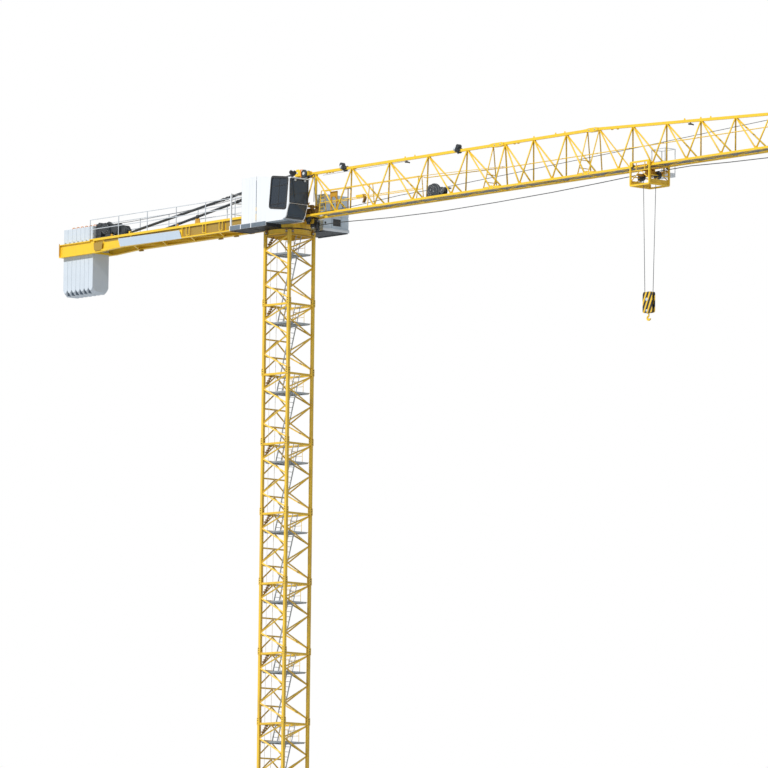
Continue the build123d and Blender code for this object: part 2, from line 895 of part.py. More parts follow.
def cab_outline(inset=0):
    """The side of the cab: sloping roof, leaning front and a chin drawn back."""
    return [
        (cab_rear_x + inset, cab_floor_z + inset), (cab_chin_x - inset, cab_floor_z + inset),
        (cab_mid_x - inset, cab_mid_z), (cab_front_x - inset, cab_brow_z - inset),
        (cab_rear_x + inset, cab_roof_z - inset)]


def window_face():
    """The side window: a rhomboid that follows the roof's slope, with rounded corners."""
    x = cab_rear_x + window_rear
    z = cab_floor_z + window_rise
    corner_points = [
        (x, z), (x + window_length, z - window_slope),
        (x + window_length + window_lean, z - window_slope + window_height),
        (x + window_lean, z + window_height)]
    face = make_face(Polyline(*corner_points, close=True))
    return fillet(face.vertices(), window_corner)


def cab_shell():
    """The hollow cab, open at its windows and at its rear doorway, with a visor over the front."""
    outer = make_face(Polyline(*cab_outline(), close=True))
    chin = outer.vertices().sort_by(Axis.Y)[:2].sort_by(Axis.X)[-1]
    shell = slab(fillet(chin, cab_chin_radius), cab_near_y, cab_far_y)
    inside = slab(cab_outline(cab_wall), cab_near_y + cab_wall, cab_far_y - cab_wall)
    low_y = cab_near_y + front_glass_margin
    high_y = cab_far_y - front_glass_margin
    front_x = cab_front_x + overrun
    half_margin = front_glass_margin / 2
    middle = (cab_near_y + cab_far_y) / 2
    sill_z = cab_floor_z + cab_wall
    openings = [
        inside,
        slab(window_face(), cab_near_y - overrun, cab_near_y + cab_wall + overrun),
        slab(window_face(), cab_far_y - cab_wall - overrun, cab_far_y + overrun),
        block(
            (cab_mid_x - 2 * cab_wall, low_y, cab_mid_z + half_margin),
            (front_x, high_y, cab_brow_z - front_glass_margin)),
        block(
            (cab_chin_x - cab_wall, low_y, cab_floor_z + 2 * front_glass_margin),
            (front_x, high_y, cab_mid_z - half_margin)),
        block(
            (cab_rear_x - overrun, middle - cab_door_width / 2, sill_z),
            (cab_rear_x + cab_wall + overrun, middle + cab_door_width / 2, sill_z + cab_door_height))]
    shell = shell.cut(*openings)
    low = (cab_front_x - cab_wall, cab_near_y, cab_brow_z - cab_visor_thickness)
    visor = block(low, (cab_front_x + cab_visor_reach, cab_far_y, cab_brow_z))
    return shell + visor


def cab_glass(frame):
    """The panes: two in the sides and two in the front, in the middle of the walls."""
    panes = []
    for y in (cab_near_y + cab_wall / 2, cab_far_y - cab_wall / 2):
        half = cab_glass_thickness / 2
        panes.append(slab(window_face(), y - half, y + half))
    low_y = cab_near_y + front_glass_margin
    high_y = cab_far_y - front_glass_margin
    half_margin = front_glass_margin / 2
    foot, mid, brow = cab_outline(cab_wall / 2)[1:4]
    spans = [
        (foot, mid, cab_floor_z + 2 * front_glass_margin, cab_mid_z - half_margin),
        (mid, brow, cab_mid_z + half_margin, cab_brow_z - front_glass_margin)]
    for a, b, low, high in spans:
        slope = (b[0] - a[0]) / (b[1] - a[1])
        low_x = a[0] + (low - a[1]) * slope
        high_x = a[0] + (high - a[1]) * slope
        back = cab_glass_thickness
        outline = [(low_x - back, low), (low_x, low), (high_x, high), (high_x - back, high)]
        panes.append(slab(outline, low_y, high_y))
    return group([pane - frame for pane in panes])


def cab_platform():
    """The cab's floor on a deep frame cut round the turning plate, with a fascia and an end railing."""
    inner_y = -side_beam_y
    low = (cab_platform_rear_x, cab_near_y, turntable_top_z)
    pieces = [block(low, (cab_platform_front_x, inner_y, cab_floor_z))]
    frame_low_z = turntable_top_z - cab_frame_depth
    low = (cab_platform_rear_x, cab_near_y, frame_low_z)
    ends = [(0, 0, frame_low_z - overrun), (0, 0, turntable_top_z)]
    plate = rod(*ends, turntable_radius + cab_frame_gap, ring_sides)
    pieces.append(block(low, (fascia_front_x, inner_y, turntable_top_z)) - plate)
    fascia_top = cab_floor_z - fascia_drop
    low = (cab_platform_rear_x, cab_near_y - fascia_thickness, fascia_top - fascia_height)
    pieces.append(block(low, (fascia_front_x, cab_near_y, fascia_top)))
    x = cab_platform_rear_x + end_post_width / 2
    near = cab_near_y + end_post_width / 2
    far = -girder_y - girder_width / 2 - end_post_width
    for y in (near, far):
        pieces.append(bar((x, y, cab_floor_z), (x, y, cab_floor_z + end_post_height), end_post_width))
    for share in end_rail_shares:
        z = cab_floor_z + end_post_height * share
        pieces.append(bar((x, near, z), (x, far, z), handrail_bar))
    return fused(pieces)


def board():
    low = (board_rear_x, cab_near_y, cab_floor_z)
    high = (cab_rear_x - board_gap, cab_near_y + board_thickness, cab_roof_z)
    return block(low, high)


cabinet_front_x = service_front_x - cabinet_inset


def service_platform():
    """The floor on the far side, level with the turning plate, under two arms from its side beam."""
    low = (service_rear_x, service_inner_y, turntable_top_z - service_thickness)
    pieces = [block(low, (service_front_x, service_outer_y, turntable_top_z))]
    length = cabinet_front_x - cabinet_depth - service_rear_x
    for share in service_arm_shares:
        x = service_rear_x + length * share
        low = (x, side_beam_y, turntable_top_z)
        end_y = service_inner_y + service_arm_length
        high = (x + service_arm_width, end_y, turntable_top_z + service_arm_width)
        pieces.append(block(low, high))
    return fused(pieces)


def cabinets():
    """Three cabinets in a row along the platform's front edge."""
    boxes = []
    width = service_outer_y - service_inner_y - 2 * cabinet_inset
    start_y = service_inner_y + cabinet_inset
    shares = [0] + cabinet_split_shares + [1]
    for a, b in zip(shares, shares[1:]):
        low = (cabinet_front_x - cabinet_depth, start_y + width * a, turntable_top_z)
        high = (cabinet_front_x, start_y + width * b - cabinet_gap, turntable_top_z + cabinet_height)
        boxes.append(block(low, high))
    return group(boxes)


# Jib fittings

def jib_walkway():
    """The jib's floor on its bottom braces, and two rails on leaning posts on each side near its root."""
    low_z = jib_low_z + jib_cross_width / 2
    top = low_z + walkway_top_rise
    low = (walkway_start_x, -floor_half_width, low_z)
    pieces = [block(low, (short_apexes[-1], floor_half_width, low_z + floor_thickness))]
    inset = handrail_bar / 2
    for side in (-1, 1):
        foot_y = side * (walkway_half_width - inset)
        top_y = side * walkway_top_half
        middle_x = (walkway_start_x + walkway_end_x) / 2
        for x in (walkway_start_x + inset, middle_x, walkway_end_x - inset):
            pieces.append(bar((x, foot_y, low_z + floor_thickness / 2), (x, top_y, top), handrail_bar))
        for share in (walkway_mid_share, 1):
            y = foot_y + (top_y - foot_y) * share
            z = low_z + (top - low_z) * share
            pieces.append(bar((walkway_start_x, y, z), (walkway_end_x, y, z), handrail_bar))
    return fused(pieces)


trolley_axle_z = chord_top_z + trolley_bed_thickness + trolley_flange_radius + drum_side_gap
trolley_half = trolley_drum_length / 2 + trolley_flange_thickness + drum_side_gap
trolley_bed_half = trolley_half + trolley_cheek_thickness


def trolley_winch_bed():
    """The bed on the two bottom chords, with the cheeks of the drum."""
    low = (trolley_winch_x - trolley_winch_length / 2, -jib_half_width, chord_top_z)
    high = (trolley_winch_x + trolley_winch_length / 2, jib_half_width, chord_top_z + trolley_bed_thickness)
    pieces = [block(low, high)]
    foot = trolley_flange_radius * trolley_cheek_share
    for side in (-1, 1):
        pieces.append(winch_cheek(
            trolley_winch_x, chord_top_z, trolley_axle_z, side * trolley_half, side * trolley_bed_half, foot,
            2 * trolley_axle_radius))
    ends = [(trolley_winch_x, side * (trolley_bed_half + overrun), trolley_axle_z) for side in (-1, 1)]
    return fused(pieces) - rod(*ends, (trolley_axle_radius + axle_clearance) * bore_ratio, ring_sides)


def trolley_winch_motor():
    """The motor that lies on the bed behind the drum."""
    x = trolley_winch_x - trolley_winch_length / 2 + trolley_motor_radius
    base_z = chord_top_z + trolley_bed_thickness
    z = base_z + trolley_motor_lift + trolley_motor_radius
    half = trolley_motor_length / 2
    body = rod((x, -half, z), (x, half, z), trolley_motor_radius, wheel_sides)
    low = (x - trolley_motor_radius / 2, -half, base_z)
    return body + block(low, (x + trolley_motor_radius / 2, half, z))


# Trolley and hook

roller_z = chord_low_z + rail_thickness + roller_clearance + roller_radius
roller_y = jib_half_width + (jib_chord_width + rail_width) / 2
roller_x = sheave_x - roller_radius
sheave_z = jib_low_z - sheave_drop


def trolley_frame():
    """An open frame round the two bottom chords, with the sheave axles across it."""
    low_z = jib_low_z - trolley_bottom_drop
    high_z = jib_low_z + trolley_top_rise
    x_ends = (trolley_x - trolley_half_length, trolley_x + trolley_half_length)
    pieces = []
    for side in (-1, 1):
        y = side * trolley_half_width
        for x in x_ends:
            pieces.append(bar((x, y, low_z), (x, y, high_z), trolley_bar))
        for z in (low_z, high_z):
            pieces.append(bar((x_ends[0], y, z), (x_ends[1], y, z), trolley_bar))
    for x in x_ends:
        pieces.append(bar((x, -trolley_half_width, low_z), (x, trolley_half_width, low_z), trolley_bar))
    for x in (trolley_x - sheave_x, trolley_x + sheave_x):
        ends = [(x, side * trolley_half_width, sheave_z) for side in (-1, 1)]
        pieces.append(rod(*ends, roller_axle_radius, pin_sides))
    for x in (trolley_x - roller_x, trolley_x + roller_x):
        for side in (-1, 1):
            y = side * trolley_half_width
            inner = side * (roller_y - roller_length / 2)
            pieces.append(rod((x, inner, roller_z), (x, y, roller_z), roller_axle_radius, pin_sides))
            pieces.append(bar((x, y, roller_z - roller_radius), (x, y, high_z), trolley_bar))
    return fused(pieces)


def trolley_rollers():
    wheels = []
    for x in (trolley_x - roller_x, trolley_x + roller_x):
        for side in (-1, 1):
            ends = [(x, side * roller_y + half * roller_length / 2, roller_z) for half in (-1, 1)]
            bore = rod(*ends, roller_axle_radius, pin_sides)
            wheels.append(rod(*ends, roller_radius, wheel_sides) - bore)
    return group(wheels)


def trolley_sheaves():
    wheels = []
    for x in (trolley_x - sheave_x, trolley_x + sheave_x):
        wheels.append(grooved_wheel(x, sheave_z, sheave_radius, sheave_width, roller_axle_radius))
    return group(wheels)


def trolley_basket():
    """The open service basket beside the trolley: a tray, posts and two rails, on arms from its frame."""
    low_x = trolley_x - basket_back
    high_x = low_x + basket_length
    low_z = jib_low_z - basket_low_drop
    outer_y = basket_inner_y + basket_width
    wall = basket_wall
    tray = block((low_x, basket_inner_y, low_z), (high_x, outer_y, low_z + basket_tray))
    floor_corner = (low_x + wall, basket_inner_y + wall, low_z + wall)
    inside = block(floor_corner, (high_x - wall, outer_y - wall, low_z + 2 * basket_tray))
    pieces = [tray - inside]
    half = basket_post / 2
    xs = (low_x + half, high_x - half)
    ys = (basket_inner_y + half, outer_y - half)
    for x in xs:
        for y in ys:
            pieces.append(bar((x, y, low_z), (x, y, low_z + basket_height), basket_post))
    for share in (basket_mid_share, 1):
        z = low_z + basket_height * share - half
        for x in xs:
            pieces.append(bar((x, ys[0], z), (x, ys[1], z), basket_post))
        for y in ys:
            pieces.append(bar((xs[0], y, z), (xs[1], y, z), basket_post))
    inner = trolley_half_width + trolley_bar / 2
    arm_z = jib_low_z + trolley_top_rise
    for x in (low_x, high_x - trolley_bar):
        corner_point = (x + trolley_bar, basket_inner_y + half, arm_z + half)
        pieces.append(block((x, inner, arm_z - half), corner_point))
        pieces.append(block((x, basket_inner_y, low_z), corner_point))
    return fused(pieces)


block_top_z = sheave_z - fall_length
block_low_z = block_top_z - block_height
block_sheave_z = block_top_z - block_shoulder - block_foot
groove_seat = rope_radius + race_gap
fall_high_x = sheave_x - sheave_radius + sheave_groove - groove_seat
fall_low_x = block_sheave_radius - sheave_groove + groove_seat


def rope_falls():
    """The two falls, from the trolley's wheels down to the wheel in the block."""
    falls = []
    for side in (-1, 1):
        high = (trolley_x + side * fall_high_x, 0, sheave_z)
        low = (trolley_x + side * fall_low_x, 0, block_sheave_z)
        falls.append(rod(low, high, rope_radius, pin_sides))
    return group(falls)


def hook_block():
    """Two cheeks on a foot that holds the hook, and the rope wheel on its pin between them."""
    half = block_half_length
    outline = [
        (trolley_x - half + block_shoulder, block_low_z), (trolley_x + half - block_shoulder, block_low_z),
        (trolley_x + half, block_low_z + block_foot), (trolley_x + half, block_top_z - block_shoulder),
        (trolley_x + half - block_foot, block_top_z), (trolley_x - half + block_foot, block_top_z),
        (trolley_x - half, block_top_z - block_shoulder), (trolley_x - half, block_low_z + block_foot)]
    body = slab(outline, -block_half_width, block_half_width)
    low = (trolley_x - half - overrun, block_cheek - block_half_width, block_low_z + block_foot)
    slot = block(low, (trolley_x + half + overrun, block_half_width - block_cheek, block_top_z + overrun))
    ends = [(trolley_x, side * block_half_width, block_sheave_z) for side in (-1, 1)]
    low = (trolley_x, 0, block_low_z - overrun)
    high = (trolley_x, 0, block_low_z + block_foot + overrun)
    bore = rod(low, high, (hook_shank_radius + axle_clearance) * bore_ratio, ring_sides)
    body = fused([body - slot, rod(*ends, sheave_pin_radius, pin_sides)]) - bore
    bore_radius = sheave_pin_radius + axle_clearance
    wheel = grooved_wheel(trolley_x, block_sheave_z, block_sheave_radius, sheave_width, bore_radius)
    return group([body, wheel])


def hook():
    """The forged hook: a shank in the block and a crescent under it, thickest at its foot."""
    top = (trolley_x, 0, block_low_z + block_foot)
    bend_z = block_low_z - hook_gap - hook_radius
    shank = rod((trolley_x, 0, bend_z + hook_radius), top, hook_shank_radius, wheel_sides)
    reach = hook_radius + hook_thickness
    outer = Pos(trolley_x, bend_z) * RegularPolygon(reach, ring_sides)
    inner = Pos(trolley_x, bend_z + hook_shift) * RegularPolygon(hook_radius - hook_thickness, wheel_sides)
    mouth = make_face(Polyline(
        (trolley_x, bend_z), (trolley_x + 2 * reach, bend_z - hook_mouth_drop),
        (trolley_x + 2 * reach, bend_z + 2 * reach), (trolley_x + hook_shank_radius, bend_z + 2 * reach),
        close=True))
    return shank + slab(outer - inner - mouth, -hook_thickness, hook_thickness)


# Sub-parts

parts = {"base_frame": on_mast(base_frame())}
section_lows = [base_height + number * section_height for number in range(section_count)]
sections = [on_mast(mast_section(z)) for z in section_lows]
parts["mast_sections_odd"] = group(sections[0::2])
parts["mast_sections_even"] = group(sections[1::2])
platform_zs = [z + section_height - platform_drop for z in section_lows]
parts["rest_platforms"] = on_mast(group([rest_platform(z) for z in platform_zs]))
parts["ladders"] = on_mast(group([ladder(a, b) for a, b in zip(platform_zs, platform_zs[1:])]))
parts["ring_support"] = on_mast(ring_support())
parts["slewing_bearing"] = slewing_bearing()
parts["turntable"] = turntable()
parts["slewing_drives"] = slewing_drives()
parts["head_frame"] = head_frame()
parts["rope_guides"] = rope_guides()
parts["guide_bracket"] = guide_bracket()
parts["jib_section_1"] = jib_root()
parts["jib_section_2"] = jib_section(
    first_joint_x, second_joint_x, [joint_apex_x] + short_apexes[:middle_bay_count], middle_nodes)
parts["jib_section_3"] = jib_section(
    second_joint_x, jib_end_x, short_apexes[middle_bay_count:], outer_nodes)
lengths = [parts[f"jib_section_{number}"] for number in (1, 2, 3)]
parts["jib_couplings"] = jib_couplings(lengths)
parts["jib_lamps"] = jib_lamps()
parts["jib_walkway"] = jib_walkway()
parts["trolley_winch_bed"] = trolley_winch_bed()
parts["trolley_winch_motor"] = trolley_winch_motor()
parts["trolley_drum"] = drum(
    trolley_winch_x, trolley_axle_z, trolley_drum_radius, trolley_drum_length, trolley_flange_radius,
    trolley_flange_thickness, trolley_axle_radius, trolley_bed_half)
parts["counter_jib"] = counter_jib()
parts["counter_deck"] = counter_deck()
parts["counter_rails"] = counter_rails()
parts["counter_panel"] = counter_panel()
parts["counterweights"] = counterweights()
parts["counter_ties"] = counter_ties([parts["counter_jib"], parts["head_frame"]])
parts["hoist_winch_bed"] = hoist_winch_bed()
parts["hoist_motor"] = hoist_motor()
parts["hoist_box"] = hoist_box()
parts["hoist_drum"] = drum(
    hoist_x, hoist_axle_z, hoist_drum_radius, hoist_drum_length, hoist_flange_radius,
    hoist_flange_thickness, hoist_axle_radius, hoist_bed_half)
parts["cab_shell"] = cab_shell()
parts["cab_glass"] = cab_glass(parts["cab_shell"])
parts["cab_platform"] = cab_platform()
parts["board"] = board()
parts["service_platform"] = service_platform()
parts["cabinets"] = cabinets()
parts["trolley_frame"] = trolley_frame()
parts["trolley_rollers"] = trolley_rollers()
parts["trolley_sheaves"] = trolley_sheaves()
parts["trolley_basket"] = trolley_basket()
parts["rope_falls"] = rope_falls()
parts["hook_block"] = hook_block()
parts["hook"] = hook()

os.makedirs("parts", exist_ok=True)
for name, shape in parts.items():
    export_step(shape, f"parts/{name}.step")
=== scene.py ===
"""Looks of the flat-top tower crane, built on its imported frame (metres, +X along the jib)."""
from math import cos, pi, radians, sin

import bmesh
import bpy
from mathutils import Matrix, Vector


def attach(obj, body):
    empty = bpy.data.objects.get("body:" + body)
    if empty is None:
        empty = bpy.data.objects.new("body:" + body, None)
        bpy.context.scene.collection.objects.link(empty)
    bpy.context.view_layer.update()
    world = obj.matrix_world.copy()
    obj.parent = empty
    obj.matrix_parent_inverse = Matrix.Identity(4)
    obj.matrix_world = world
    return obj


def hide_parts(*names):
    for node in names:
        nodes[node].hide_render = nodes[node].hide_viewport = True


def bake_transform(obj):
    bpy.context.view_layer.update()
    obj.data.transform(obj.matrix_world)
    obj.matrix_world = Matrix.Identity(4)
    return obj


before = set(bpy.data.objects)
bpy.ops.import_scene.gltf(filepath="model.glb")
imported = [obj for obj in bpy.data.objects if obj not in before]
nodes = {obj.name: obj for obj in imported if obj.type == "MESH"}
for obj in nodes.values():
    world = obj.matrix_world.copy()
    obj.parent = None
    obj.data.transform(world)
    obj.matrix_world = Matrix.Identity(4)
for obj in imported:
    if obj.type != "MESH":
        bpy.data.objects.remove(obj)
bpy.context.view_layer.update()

# Camera, as fitted to the photograph

camera_place = (148.74, -124.16, 1.458)
camera_heading = 49.303
camera_tilt = 6.377
camera_roll = 0.636
camera_lens = 308.3
sensor_width = 36


def set_camera():
    data = bpy.data.cameras.new("camera")
    data.lens = camera_lens
    data.sensor_width = sensor_width
    data.clip_end = 1000
    heading, tilt, roll = (radians(a) for a in (camera_heading, camera_tilt, camera_roll))
    right = Vector((cos(heading), sin(heading), 0))
    forward = Vector((-sin(heading) * cos(tilt), cos(heading) * cos(tilt), sin(tilt)))
    up = right.cross(forward)
    rolled_right = right * cos(roll) + up * sin(roll)
    rolled_up = up * cos(roll) - right * sin(roll)
    turn = Matrix((rolled_right, rolled_up, -forward)).transposed()
    camera = bpy.data.objects.new("camera", data)
    camera.matrix_world = Matrix.Translation(camera_place) @ turn.to_4x4()
    bpy.context.collection.objects.link(camera)
    bpy.context.scene.camera = camera


# Stage and light

floor_size = 600
sun_direction = (0.06, -0.72, 0.69)
sun_strength = 3.0
sun_angle = 4
sky_strength = 0.36
sky_colour = (0.90, 0.95, 1.0, 1)
floor_colour = (0.62, 0.63, 0.64)
floor_roughness = 0.9


def add(tree, kind, values=None, operation=None):
    """A shader node of a kind, with its operation and the values of its inputs."""
    node = tree.nodes.new("ShaderNode" + kind)
    if operation:
        node.operation = operation
    for socket, value in (values or {}).items():
        node.inputs[socket].default_value = value
    return node


def set_stage():
    """A pale floor, one sun, and a sky that lights the crane but shows as plain white."""
    mesh = bpy.data.meshes.new("floor")
    half = floor_size / 2
    corners = [(-half, -half, 0), (half, -half, 0), (half, half, 0), (-half, half, 0)]
    mesh.from_pydata(corners, [], [(0, 1, 2, 3)])
    floor = bpy.data.objects.new("floor", mesh)
    bpy.context.collection.objects.link(floor)
    floor.data.materials.append(plain("floor", floor_colour, floor_roughness))
    lamp = bpy.data.lights.new("sun", "SUN")
    lamp.energy = sun_strength
    lamp.angle = radians(sun_angle)
    sun = bpy.data.objects.new("sun", lamp)
    sun.rotation_euler = Vector(sun_direction).to_track_quat("Z", "Y").to_euler()
    bpy.context.collection.objects.link(sun)
    world = bpy.data.worlds.new("world")
    world.use_nodes = True
    bpy.context.scene.world = world
    tree = world.node_tree
    tree.nodes.clear()
    path = add(tree, "LightPath")
    seen = add(tree, "Math", operation="MAXIMUM")
    either = add(tree, "Math", operation="MAXIMUM")
    lit = add(tree, "Background", {"Color": sky_colour, "Strength": sky_strength})
    backdrop = add(tree, "Background", {"Color": (1, 1, 1, 1)})
    mix = add(tree, "MixShader")
    out = add(tree, "OutputWorld")
    link = tree.links.new
    link(path.outputs["Is Camera Ray"], seen.inputs[0])
    link(path.outputs["Is Glossy Ray"], seen.inputs[1])
    link(seen.outputs[0], either.inputs[0])
    link(path.outputs["Is Transmission Ray"], either.inputs[1])
    link(either.outputs[0], mix.inputs["Fac"])
    link(lit.outputs[0], mix.inputs[1])
    link(backdrop.outputs[0], mix.inputs[2])
    link(mix.outputs[0], out.inputs["Surface"])
    bpy.context.scene.view_settings.view_transform = "Standard"


# Materials

streak_stretch = (6, 6, 0.7)
dirt_low = 0.22
dirt_high = 0.42
grain_scale = 60
gloss_spread = 0.12
least_roughness = 0.05
relief_depth = 0.002
glass_roughness = 0.06
glass_transmission = 0.35
glass_index = 1.3
stripe_lean = 0.45
stripe_pitch = 0.15
stripe_black_share = 0.57
stripe_black = (0.012, 0.013, 0.015, 1)
stripe_periods = 400


def plain(name, colour, roughness, metallic=0.0):
    material = bpy.data.materials.new(name)
    material.use_nodes = True
    shader = material.node_tree.nodes["Principled BSDF"]
    shader.inputs["Base Color"].default_value = (*colour, 1)
    shader.inputs["Roughness"].default_value = roughness
    shader.inputs["Metallic"].default_value = metallic
    return material


def worn(name, colour, dirt, roughness, metallic=0.0, spot_scale=1.2, dirt_share=0.35, bump=0.02):
    """Paint or metal with slow fading, streaks that run down, and fine grain in the gloss."""
    material = plain(name, colour, roughness, metallic)
    tree = material.node_tree
    shader = tree.nodes["Principled BSDF"]
    place = add(tree, "TexCoord")
    stretch = add(tree, "Mapping", {"Scale": streak_stretch})
    streaks = add(tree, "TexNoise", {"Scale": spot_scale * 2, "Detail": 5})
    spots = add(tree, "TexNoise", {"Scale": spot_scale, "Detail": 6})
    both = add(tree, "Math", operation="MULTIPLY")
    ramp = add(tree, "MapRange",
               {"From Min": dirt_low, "From Max": dirt_high, "To Max": dirt_share})
    mix = tree.nodes.new("ShaderNodeMix")
    mix.data_type = "RGBA"
    mix.inputs["A"].default_value = (*colour, 1)
    mix.inputs["B"].default_value = (*dirt, 1)
    grain = add(tree, "TexNoise", {"Scale": grain_scale})
    gloss = add(tree, "MapRange", {"To Min": max(least_roughness, roughness - gloss_spread),
                                   "To Max": min(1, roughness + gloss_spread)})
    relief = add(tree, "Bump", {"Strength": bump * 10, "Distance": relief_depth})
    link = tree.links.new
    link(place.outputs["Object"], stretch.inputs["Vector"])
    link(stretch.outputs["Vector"], streaks.inputs["Vector"])
    link(place.outputs["Object"], spots.inputs["Vector"])
    link(place.outputs["Object"], grain.inputs["Vector"])
    link(streaks.outputs["Fac"], both.inputs[0])
    link(spots.outputs["Fac"], both.inputs[1])
    link(both.outputs[0], ramp.inputs["Value"])
    link(ramp.outputs["Result"], mix.inputs["Factor"])
    link(mix.outputs["Result"], shader.inputs["Base Color"])
    link(grain.outputs["Fac"], gloss.inputs["Value"])
    link(gloss.outputs["Result"], shader.inputs["Roughness"])
    link(grain.outputs["Fac"], relief.inputs["Height"])
    link(relief.outputs["Normal"], shader.inputs["Normal"])
    return material


yellow = worn("yellow_paint", (0.92, 0.60, 0.030), (0.55, 0.33, 0.05), 0.42, dirt_share=0.3)
mast_yellow = worn("mast_paint", (0.84, 0.54, 0.045), (0.42, 0.25, 0.06), 0.5, dirt_share=0.45)
orange = worn("orange_paint", (0.86, 0.30, 0.02), (0.45, 0.15, 0.03), 0.45)
white = worn("white_paint", (0.84, 0.86, 0.88), (0.66, 0.68, 0.69), 0.35, dirt_share=0.15)
cabinet = worn("cabinet_paint", (0.56, 0.65, 0.73), (0.42, 0.49, 0.55), 0.4, dirt_share=0.2)
sign_paint = worn("sign_paint", (0.52, 0.61, 0.71), (0.44, 0.52, 0.60), 0.4, dirt_share=0.2)
rust = worn("brown_steel", (0.27, 0.15, 0.035), (0.14, 0.08, 0.03), 0.7)
# A darker copy of the orange paint: painted shade on the lugs, the walkway guard and the trolley's
# brackets.
orange_in_painted_shade = worn("orange_in_painted_shade", (0.58, 0.31, 0.03), (0.4, 0.18, 0.03), 0.5)
cable_paint = worn("cable_sheath", (0.50, 0.40, 0.22), (0.3, 0.25, 0.15), 0.6)
# A darker copy of the yellow paint, taken from its tone in shadow: painted shade for the parts that
# sit in shade.
painted_shade_yellow = worn("yellow_painted_shade", (0.40, 0.255, 0.045), (0.25, 0.16, 0.05), 0.6, dirt_share=0.5)
floor_paint = worn("floor_paint", (0.34, 0.43, 0.52), (0.22, 0.28, 0.34), 0.5)
slate = worn("slate_paint", (0.15, 0.19, 0.235), (0.09, 0.115, 0.14), 0.45)
zinc = worn("zinc", (0.42, 0.46, 0.49), (0.26, 0.29, 0.31), 0.5, 0.6)
light_metal = worn("light_metal", (0.62, 0.66, 0.70), (0.40, 0.43, 0.46), 0.4, 0.3)
dark = worn("dark_steel", (0.035, 0.042, 0.050), (0.09, 0.09, 0.09), 0.45, 0.3)
black = worn("black_paint", (0.012, 0.013, 0.015), (0.04, 0.04, 0.04), 0.5)
rope_steel = worn("rope_steel", (0.10, 0.11, 0.12), (0.05, 0.05, 0.05), 0.5, 0.5)
grey = worn("grey_steel", (0.20, 0.21, 0.22), (0.12, 0.11, 0.10), 0.55, 0.2)
concrete = worn("concrete", (0.64, 0.70, 0.76), (0.50, 0.55, 0.60), 0.85,
                spot_scale=2.5, dirt_share=0.25, bump=0.08)


def glass_material(name, colour):
    material = plain(name, colour, glass_roughness)
    shader = material.node_tree.nodes["Principled BSDF"]
    shader.inputs["Transmission Weight"].default_value = glass_transmission
    shader.inputs["IOR"].default_value = glass_index
    return material


def striped(name):
    """Black and yellow warning stripes that climb across the near and far faces."""
    material = worn(name, (0.90, 0.57, 0.04), (0.5, 0.3, 0.05), 0.45)
    tree = material.node_tree
    shader = tree.nodes["Principled BSDF"]
    paint = shader.inputs["Base Color"].links[0].from_socket
    place = add(tree, "TexCoord")
    parts = add(tree, "SeparateXYZ")
    lean = add(tree, "Math", {1: -stripe_lean}, "MULTIPLY_ADD")
    period = add(tree, "Math", {1: stripe_pitch}, "MODULO")
    shift = add(tree, "Math", {1: stripe_periods * stripe_pitch}, "ADD")
    half = add(tree, "Math", {1: stripe_pitch * stripe_black_share}, "LESS_THAN")
    mix = tree.nodes.new("ShaderNodeMix")
    mix.data_type = "RGBA"
    mix.inputs["B"].default_value = stripe_black
    link = tree.links.new
    link(place.outputs["Object"], parts.inputs[0])
    link(parts.outputs["Z"], lean.inputs[0])
    link(parts.outputs["X"], lean.inputs[2])
    link(lean.outputs[0], shift.inputs[0])
    link(shift.outputs[0], period.inputs[0])
    link(period.outputs[0], half.inputs[0])
    link(half.outputs[0], mix.inputs["Factor"])
    link(paint, mix.inputs["A"])
    link(mix.outputs["Result"], shader.inputs["Base Color"])
    return material


glass = glass_material("glass", (0.040, 0.056, 0.078))
front_glass = glass_material("front_glass", (0.090, 0.122, 0.162))
stripes = striped("stripes")

finishes = [
    (grey, "base_frame"),
    (mast_yellow, "mast_sections_odd mast_sections_even ring_support turntable guide_bracket"),
    (zinc, "rest_platforms ladders counter_deck"),
    (dark, "slewing_bearing rope_guides jib_lamps trolley_winch_bed trolley_winch_motor "
     "trolley_drum counter_ties hoist_winch_bed hoist_motor hoist_box hoist_drum "
     "trolley_rollers trolley_sheaves"),
    # The slewing drives take the darker yellow: painted shade.
    (painted_shade_yellow, "slewing_drives"),
    (yellow, "head_frame jib_section_1 jib_section_2 jib_section_3 jib_couplings jib_walkway "
     "counter_jib trolley_frame hook"),
    (light_metal, "counter_rails trolley_basket"),
    (sign_paint, "counter_panel"),
    (concrete, "counterweights"),
    (white, "cab_shell cab_platform board"),
    (glass, "cab_glass"),
    (cabinet, "service_platform cabinets"),
    (rope_steel, "rope_falls"),
    (stripes, "hook_block"),
]


def finish_nodes():
    """Each CAD node's material."""
    for material, names in finishes:
        for name in names.split():
            data = nodes[name].data
            data.materials.clear()
            data.materials.append(material)


# Forms

mast_top = 27510


def at(x, y, rise):
    """A place in metres, from millimetres along, across and above the mast's top."""
    return Vector((x, y, mast_top + rise)) / 1000


def shifted(places, shift):
    return [tuple(a + b for a, b in zip(place, shift)) for place in places]


